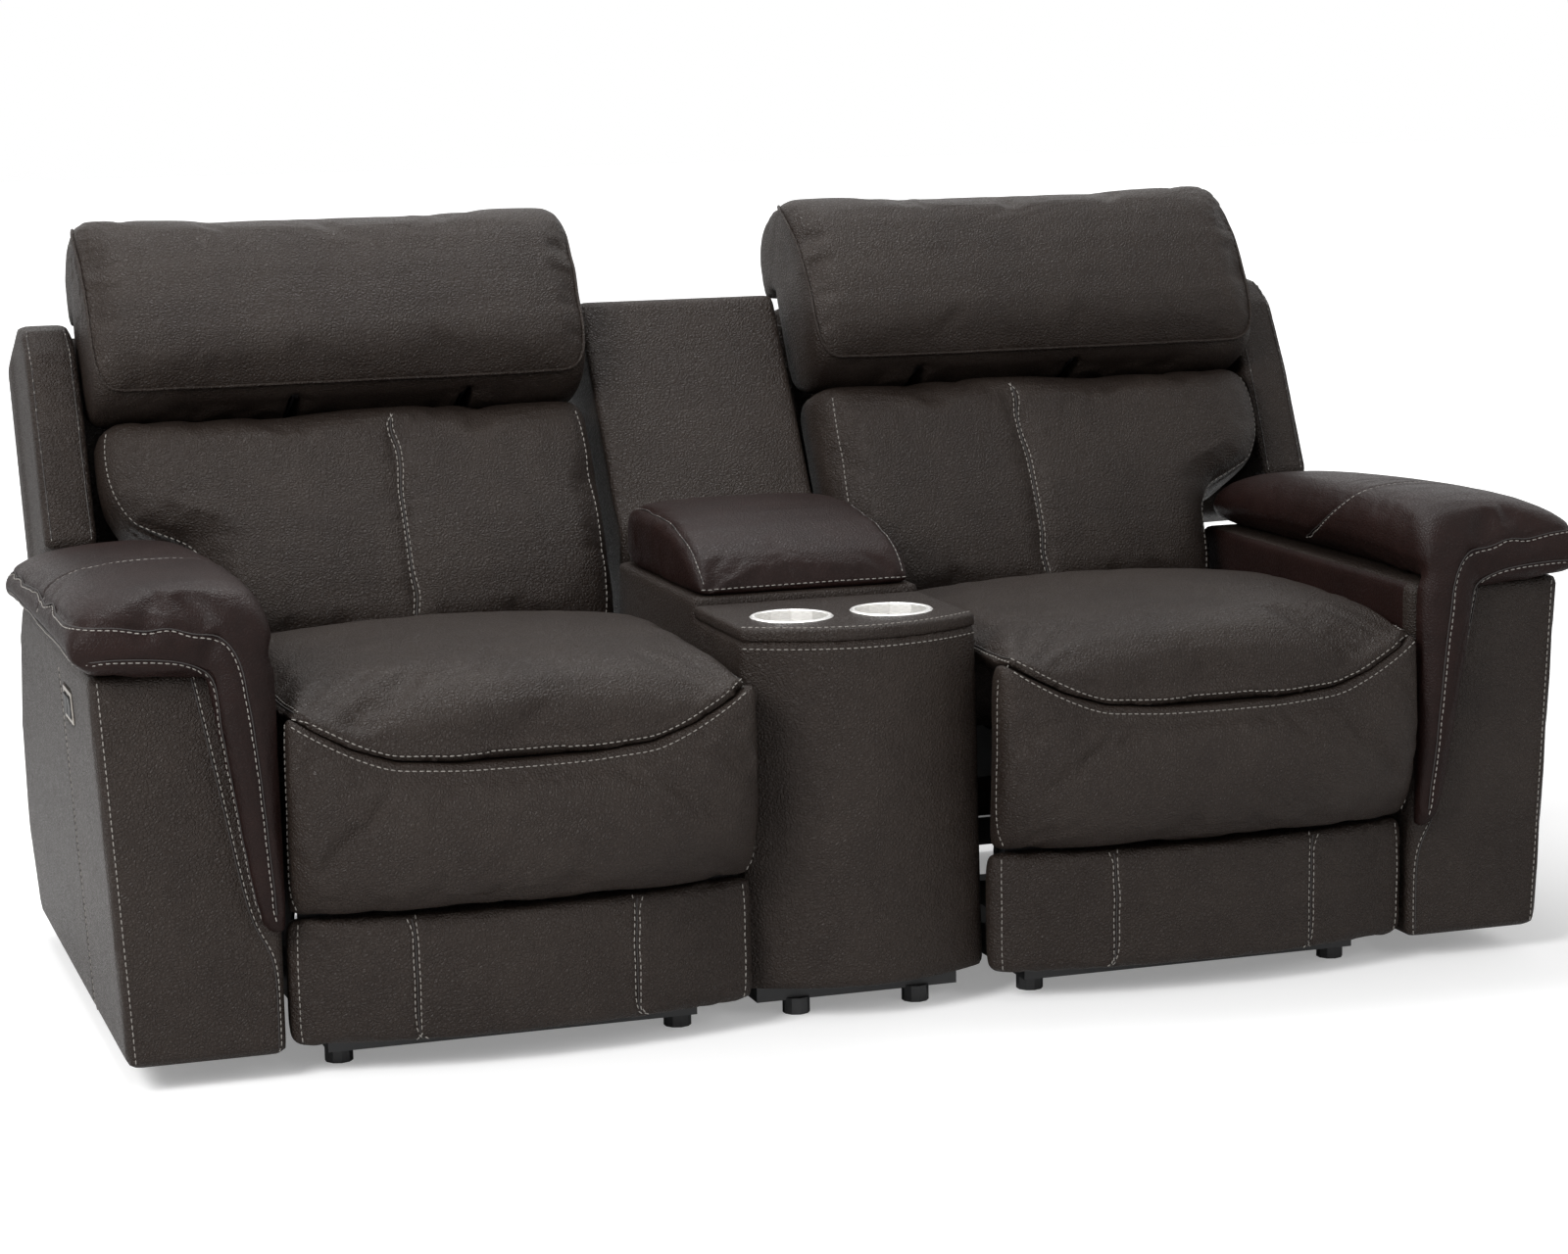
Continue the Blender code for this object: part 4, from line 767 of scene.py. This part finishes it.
crumple("pad_cover_right", (0.79, -0.50, 0.42), (1, 0, -0.3), 0.10, 0.0016, 0.024)
crumple("pad_cover_right", (0.97, -0.44, 0.55), (0, 0.2, 1), 0.08, 0.0006, 0.030)
crumple("pad_cover_right", (0.85, -0.25, 0.60), (1, 0.1, 0), 0.12, 0.0012, 0.030)
crumple("seat_cover_right", (0.60, -0.40, 0.48), (0.5, 0.4, 0), 0.13, 0.0016, 0.030)
crumple("drop_cover_right", (0.50, -0.53, 0.28), (0.25, 0, 1), 0.14, 0.0016, 0.034)
crumple("lid_cover", (0.0, -0.20, 0.54), (0.2, 0, 1), 0.12, 0.0010, 0.030)

# %% [markdown]
# A seam joins two leather panels: the join sinks into the padding, and a row of short stitches
# runs along one or both sides of it. One stitch is modelled, a small bar with rounded ends, and
# copied along each row, laid on the cover and turned with it.

# %% Stitches
stitch_length, stitch_pitch, stitch_radius = 0.0060, 0.0085, 0.0008


def one_stitch():
    bpy.ops.object.select_all(action="DESELECT")
    bpy.ops.mesh.primitive_cylinder_add(vertices=6, radius=stitch_radius, depth=stitch_length * 0.6)
    bar = bpy.context.object
    bpy.ops.object.mode_set(mode="EDIT")
    mesh = bmesh.from_edit_mesh(bar.data)
    mesh.faces.ensure_lookup_table()
    for end in (1, -1):
        bpy.ops.mesh.select_all(action="DESELECT")
        for face in mesh.faces:
            face.select = face.normal.z * end > 0.9
        tip = (0, 0, end * stitch_length * 0.2)
        bpy.ops.mesh.extrude_region_move(TRANSFORM_OT_translate={"value": tip})
        bpy.ops.transform.resize(value=(0.35, 0.35, 1))
    bpy.ops.object.mode_set(mode="OBJECT")
    shape = bar.data
    bpy.data.objects.remove(bar)
    return shape


stitch_shape = one_stitch()
print("one stitch has", len(stitch_shape.polygons), "faces")

# %% [markdown]
# A seam is drawn as a few points near the cover. These helpers spread points evenly along it,
# round its corners off, and calm its small wobbles by averaging neighbours.

# %% Points along a row
def resample(path, pitch):
    """Points at an even pitch along a path."""
    path = [Vector(p) for p in path]
    lengths = [0.0]
    for a, b in zip(path, path[1:]):
        lengths.append(lengths[-1] + (b - a).length)
    count = max(2, int(lengths[-1] / pitch))
    spots, k = [], 0
    for n in range(count + 1):
        target = lengths[-1] * n / count
        while k < len(path) - 2 and lengths[k + 1] < target:
            k += 1
        span = max(lengths[k + 1] - lengths[k], 1e-9)
        spots.append(path[k].lerp(path[k + 1], min(1.0, (target - lengths[k]) / span)))
    return spots


def rounded(path, rounds=3):
    """A path with its corners rounded off."""
    path = [Vector(p) for p in path]
    for _ in range(rounds):
        cut = [q for a, b in zip(path, path[1:]) for q in (a.lerp(b, 0.25), a.lerp(b, 0.75))]
        path = [path[0], *cut, path[-1]]
    return path


def even_out(spots, rounds):
    """Points or directions along a row, each moved towards its neighbours' middle."""
    for _ in range(rounds):
        inner = [(a + b * 2 + c) / 4 for a, b, c in zip(spots, spots[1:], spots[2:])]
        spots = [spots[0], *inner, spots[-1]]
    return spots

# %% [markdown]
# A row is brought onto the cover's surface and moved sideways, beside the seam. Its direction is
# calmed before and after, so that it runs straight where the faces under it are uneven.

# %% Rows that follow a surface
search_pitch, hold_share = 0.004, 0.8


def lay_on(tree, path, side=0.0, pitch=stitch_pitch, lift=0.0):
    """Lay a path on a surface, moved sideways by side; gives its points and directions."""
    found = [tree.find_nearest(p)[:2] for p in resample(path, search_pitch)]
    line = even_out([spot for spot, _ in found], 20)
    facing = even_out([normal for _, normal in found], 40)
    for k, normal in enumerate(facing):
        way = line[min(k + 1, len(line) - 1)] - line[max(k - 1, 0)]
        line[k] = line[k] + normal.cross(way).normalized() * side
    line = even_out(line, 5)
    spots = resample(line, pitch)
    laid = []
    for k, spot in enumerate(spots):
        way = (spots[min(k + 1, len(spots) - 1)] - spots[max(k - 1, 0)]).normalized()
        place, normal = tree.find_nearest(spot)[:2]
        laid.append((spot.lerp(place, hold_share) + normal * lift, way))
    return laid


def stitch_row(name, tree, path, side):
    """A row of stitches on a surface, as one mesh."""
    mesh = bmesh.new()
    for spot, way in lay_on(tree, path, side, stitch_pitch, stitch_radius * 0.5):
        turn = way.to_track_quat("Z", "Y").to_matrix().to_4x4()
        before = len(mesh.verts)
        mesh.from_mesh(stitch_shape)
        mesh.verts.ensure_lookup_table()
        bmesh.ops.transform(mesh, matrix=Matrix.Translation(spot) @ turn, verts=mesh.verts[before:])
    made = bpy.data.meshes.new(name)
    mesh.to_mesh(made)
    mesh.free()
    row = new_piece(name, made)
    row.data.materials.append(thread)
    row.data.shade_smooth()
    return row

# %% [markdown]
# In a seam lies a nearly black cord, painted shade in the groove where the leather folds in, and
# round the headrest's face a cord covered in leather is sewn in. Both are a curve with a round
# section, made a mesh at once.

# %% Painted seam shade and cords
trims = []
cord_pitch, shade_cord_radius, shade_cord_sunk, piping_sunk = 0.006, 0.0009, 0.55, 0.3


def cord(name, tree, path, radius, skin, sink_in):
    """A round cord laid along a path on a surface, partly sunk into it."""
    curve = bpy.data.curves.new(name, "CURVE")
    curve.dimensions = "3D"
    curve.bevel_depth = radius
    curve.bevel_resolution = 1
    curve.use_fill_caps = True
    spots = [spot for spot, _ in lay_on(tree, path, 0.0, cord_pitch, radius * (1 - sink_in))]
    spots = even_out(spots, 2)
    line = curve.splines.new("POLY")
    line.points.add(len(spots) - 1)
    for point, spot in zip(line.points, spots):
        point.co = (*spot, 1)
    made = only(new_piece(name, curve))
    bpy.ops.object.convert(target="MESH")
    made.data.materials.append(skin)
    made.data.shade_smooth()
    return made

# %% [markdown]
# To sew is to press the groove, lay a nearly black cord in it as painted shade and stitch along it.
# A seam's name gets the side of its cover, so that its mirrored twin can be named after it.

# %% Sew and pipe
def sew(name, cover_name, path, rows=(0.0062, -0.0062), groove=0.0028, width=0.0042):
    """Press a seam into a cover, lay a nearly black cord in it as painted shade, and stitch along
    it.
    """
    cover = by_name[cover_name]
    hand = "_right" if cover_name.endswith("right") else ""
    tree = surface(cover["piece"])
    if groove:
        line = [spot for spot, _ in lay_on(tree, path, 0.0, fine_pitch)]
        press(cover["piece"], line, groove, width)
        tree = surface(cover["piece"])
        # The nearly black cord laid in the pressed groove is painted shade.
        groove_cord = cord(name + "_fold" + hand, tree, path, shade_cord_radius, painted_groove, shade_cord_sunk)
        trims.append({"piece": groove_cord, "body": cover["body"]})
    for k, side in enumerate(rows):
        number = "_%d" % (k + 1) if len(rows) > 1 else ""
        row = stitch_row(name + "_stitches" + number + hand, tree, path, side)
        trims.append({"piece": row, "body": cover["body"]})


def pipe(name, cover_name, path, radius=0.0024):
    """A leather cord sewn into a seam round a cover."""
    cover = by_name[cover_name]
    hand = "_right" if cover_name.endswith("right") else ""
    tree = surface(cover["piece"])
    piping = cord(name + hand, tree, path, radius, soften[cover["skin"]], piping_sunk)
    trims.append({"piece": piping, "body": cover["body"]})

# %% [markdown]
# The seat and its footrest: a double row along the contour seam, one row on each side of it, and
# two double seams down the lower panel.

# %% Seams of the seat
panel_seam = 0.138
front_of_seam = [p + Vector((0, -0.002, 0.0085)) for p in seam_line]
below_seam = [p + Vector((0, -0.004, -0.0085)) for p in seam_line]
sew("seat_seam", "seat_cover_right", front_of_seam, (0,), 0)
sew("drop_seam", "drop_cover_right", below_seam, (0,), 0)
for label, side in (("outer", 1), ("inner", -1)):
    edge = seat_middle + side * (half_seat - 0.0035) - (seat_swell if side < 0 else 0)
    sew("seat_side_" + label, "seat_cover_right",
        [(edge, -0.478, 0.462), (edge, -0.30, 0.455), (edge, 0.02, 0.450)], (0.005,), 0.0015)
    edge = seat_middle + side * (half_seat - 0.010) - (0.008 if side < 0 else 0)
    sew("drop_side_" + label, "drop_cover_right",
        [(edge, -0.480, 0.436), (edge, -0.478, 0.330), (edge, -0.468, 0.215)], (0,), 0)
    sew("panel_side_" + label, "lower_cover_right",
        [(edge, -0.462, 0.190), (edge, -0.462, 0.046)], (0,), 0)
    inner = seat_middle + side * panel_seam
    sew("panel_seam_" + label, "lower_cover_right",
        [(inner, -0.490, 0.196), (inner, -0.492, 0.120), (inner, -0.490, 0.041)])

# %% [markdown]
# The back: a double seam down the middle of the lumbar cushion, rows near its edges, piping round
# the headrest's face, and a row along each edge of the wing.

# %% Seams of the back
sew("lumbar_seam", "lumbar_cover_right", lumbar_line)
sew("lumbar_inner", "lumbar_cover_right",
    [on_back(-0.272, 0.165, up) for up in (0.09, 0.20, 0.30, 0.39)], (0,), 0)
ear_edge = rounded([on_back(*place) for place in (
    (0.262, 0.165, 0.09), (0.266, 0.165, 0.195), (0.311, 0.160, 0.212), (0.350, 0.155, 0.240),
    (0.372, 0.150, 0.285), (0.384, 0.145, 0.335), (0.383, 0.140, 0.395))])
sew("lumbar_outer", "lumbar_cover_right", ear_edge, (0,), 0)
headrest_edge = rounded([on_back(*place) for place in (
    (-0.288, 0.110, 0.714), (-0.290, 0.165, 0.650), (-0.290, 0.195, 0.560), (-0.288, 0.195, 0.452),
    (-0.262, 0.190, 0.420), (0.0, 0.195, 0.419), (0.370, 0.190, 0.420), (0.397, 0.195, 0.452),
    (0.399, 0.195, 0.560), (0.399, 0.165, 0.650), (0.395, 0.110, 0.714))])
pipe("headrest_piping", "headrest_cover_right", headrest_edge)
for label, low_x, high_x in (("inner", 0.4075, 0.4105), ("outer", 0.4650, 0.4665)):
    sew("wing_" + label, "shell_cover_right",
        [on_back(low_x, 0.118, 0.260), on_back(high_x, 0.118, 0.400), on_back(high_x, 0.112, 0.520),
         on_back(high_x, 0.085, 0.575)], (0,), 0.0012)

# %% [markdown]
# The arms: the pad's top panel and its boxing meet in a seam round the nose that runs down beside
# the seat, a second seam closes the boxing, and one row crosses the pad near its rear.

# %% Seams of the arms
sew("pad_upper", "pad_cover_right",
    rounded([(0.992, 0.14, 0.560), (0.992, -0.30, 0.577), (0.990, -0.470, 0.580),
             (0.960, -0.506, 0.582), (0.850, -0.508, 0.572), (0.800, -0.506, 0.545),
             (0.782, -0.505, 0.480), (0.772, -0.503, 0.385), (0.764, -0.500, 0.280),
             (0.757, -0.495, 0.215)]), (0.005,), 0.0030)
sew("pad_lower", "pad_cover_right",
    rounded([(0.992, 0.14, 0.525), (0.992, -0.30, 0.535), (0.988, -0.470, 0.536),
             (0.950, -0.500, 0.534), (0.860, -0.500, 0.528), (0.828, -0.498, 0.505),
             (0.818, -0.490, 0.410), (0.800, -0.486, 0.310), (0.778, -0.480, 0.215)]),
    (0.005,), 0.0022)
sew("pad_cross", "pad_cover_right",
    rounded([(0.990, -0.205, 0.555), (0.935, -0.220, 0.602), (0.840, -0.265, 0.607),
             (0.765, -0.255, 0.598), (0.746, -0.200, 0.560), (0.745, -0.130, 0.515)]),
    (0.005,), 0.0022)
arm_face = [(0.843, arm_front, 0.500), (0.820, arm_front, 0.385), (0.788, arm_front, 0.210),
            (0.772, arm_front, 0.175), (0.757, arm_front, 0.158), (0.757, arm_front, 0.042)]
sew("arm_face", "arm_cover_right", rounded(arm_face, 2), (-0.003,), 0.0012)
sew("arm_edge", "arm_cover_right", [(0.928, arm_front, 0.045), (0.952, arm_front, 0.498)], (0,), 0)
sew("arm_side", "arm_cover_right", [(0.940, -0.180, 0.040), (0.962, -0.180, 0.470)],
    (0.004,), 0.0020)

# %% [markdown]
# The console: stitching on both sides of the front edge of its deck, and along the lid's sides.

# %% Seams of the console
deck_half, deck_front, deck_bow = 0.149, -0.415, 0.050
lid_half = 0.139


def deck_edge(inset, z):
    """Points along the bowed front edge of the console's deck."""
    shares = [2 * k / 24 - 1 for k in range(25)]
    return [Vector((deck_half * share, deck_front - deck_bow * (1 - share * share) + inset, z))
            for share in shares]


sew("deck_top_edge", "deck_cover", deck_edge(0.0065, 0.503), (0,), 0)
sew("casing_top_edge", "console_cover", deck_edge(0.0, 0.478), (0,), 0)
for label, side in (("left", -1), ("right", 1)):
    sew("lid_side_" + label, "lid_cover",
        [(side * lid_half, y, z) for y, z in
         ((-0.205, 0.535), (-0.150, 0.570), (-0.05, 0.596), (0.06, 0.602), (0.135, 0.595))],
        (0,), 0.0015)
sew("lid_front", "lid_cover", [(-lid_half, -0.212, 0.523), (lid_half, -0.212, 0.523)], (0,), 0)
print(len(trims), "rows and cords")

# %% [markdown]
# The left-hand half mirrors the right-hand one. A mirrored mesh has its faces turned back outwards.

# %% Mirror and mount everything
def other_side(name):
    return name.replace("right", "left")


def mirror_of(piece):
    twin = new_piece(other_side(piece.name), piece.data.copy())
    twin.data.transform(Matrix.Diagonal((-1, 1, 1, 1)))
    twin.data.flip_normals()
    return twin


for cover in covers:
    piece, body, packed = cover["piece"], cover["body"], cover["node"]
    made = [(piece, body, packed)]
    if packed.endswith("_right"):
        made.append((mirror_of(piece), other_side(body), other_side(packed)))
    for piece, carrier, node in made:
        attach(piece, carrier)
        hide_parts(node)
for trim in trims:
    made = [(trim["piece"], trim["body"])]
    if trim["piece"].name.endswith("_right"):
        made.append((mirror_of(trim["piece"]), other_side(trim["body"])))
    for piece, carrier in made:
        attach(piece, carrier)
print(len(covers), "covers and", len(trims), "trims mounted")

# %% [markdown]
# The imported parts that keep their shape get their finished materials.

# %% Materials of the hardware
cup_side, cup_front = 0.067, -0.3495
for name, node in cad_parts.items():
    if node.hide_render:
        continue
    if name.startswith("cup_holder"):
        centre = (-cup_side if name.endswith("left") else cup_side, cup_front)
        skin = brushed("brushed_cup_" + name[11:], (0.88, 0.87, 0.85), 0.40, centre)
    elif name.startswith("switch_plate"):
        skin = switch_steel
    elif "rocker" in name or "motor" in name or "drive_nut" in name:
        skin = moulded_plastic
    elif "board" in name and not name.startswith("footrest"):
        skin = bare_plywood
    else:
        skin = steel_coat
    node.data.materials.clear()
    node.data.materials.append(skin)
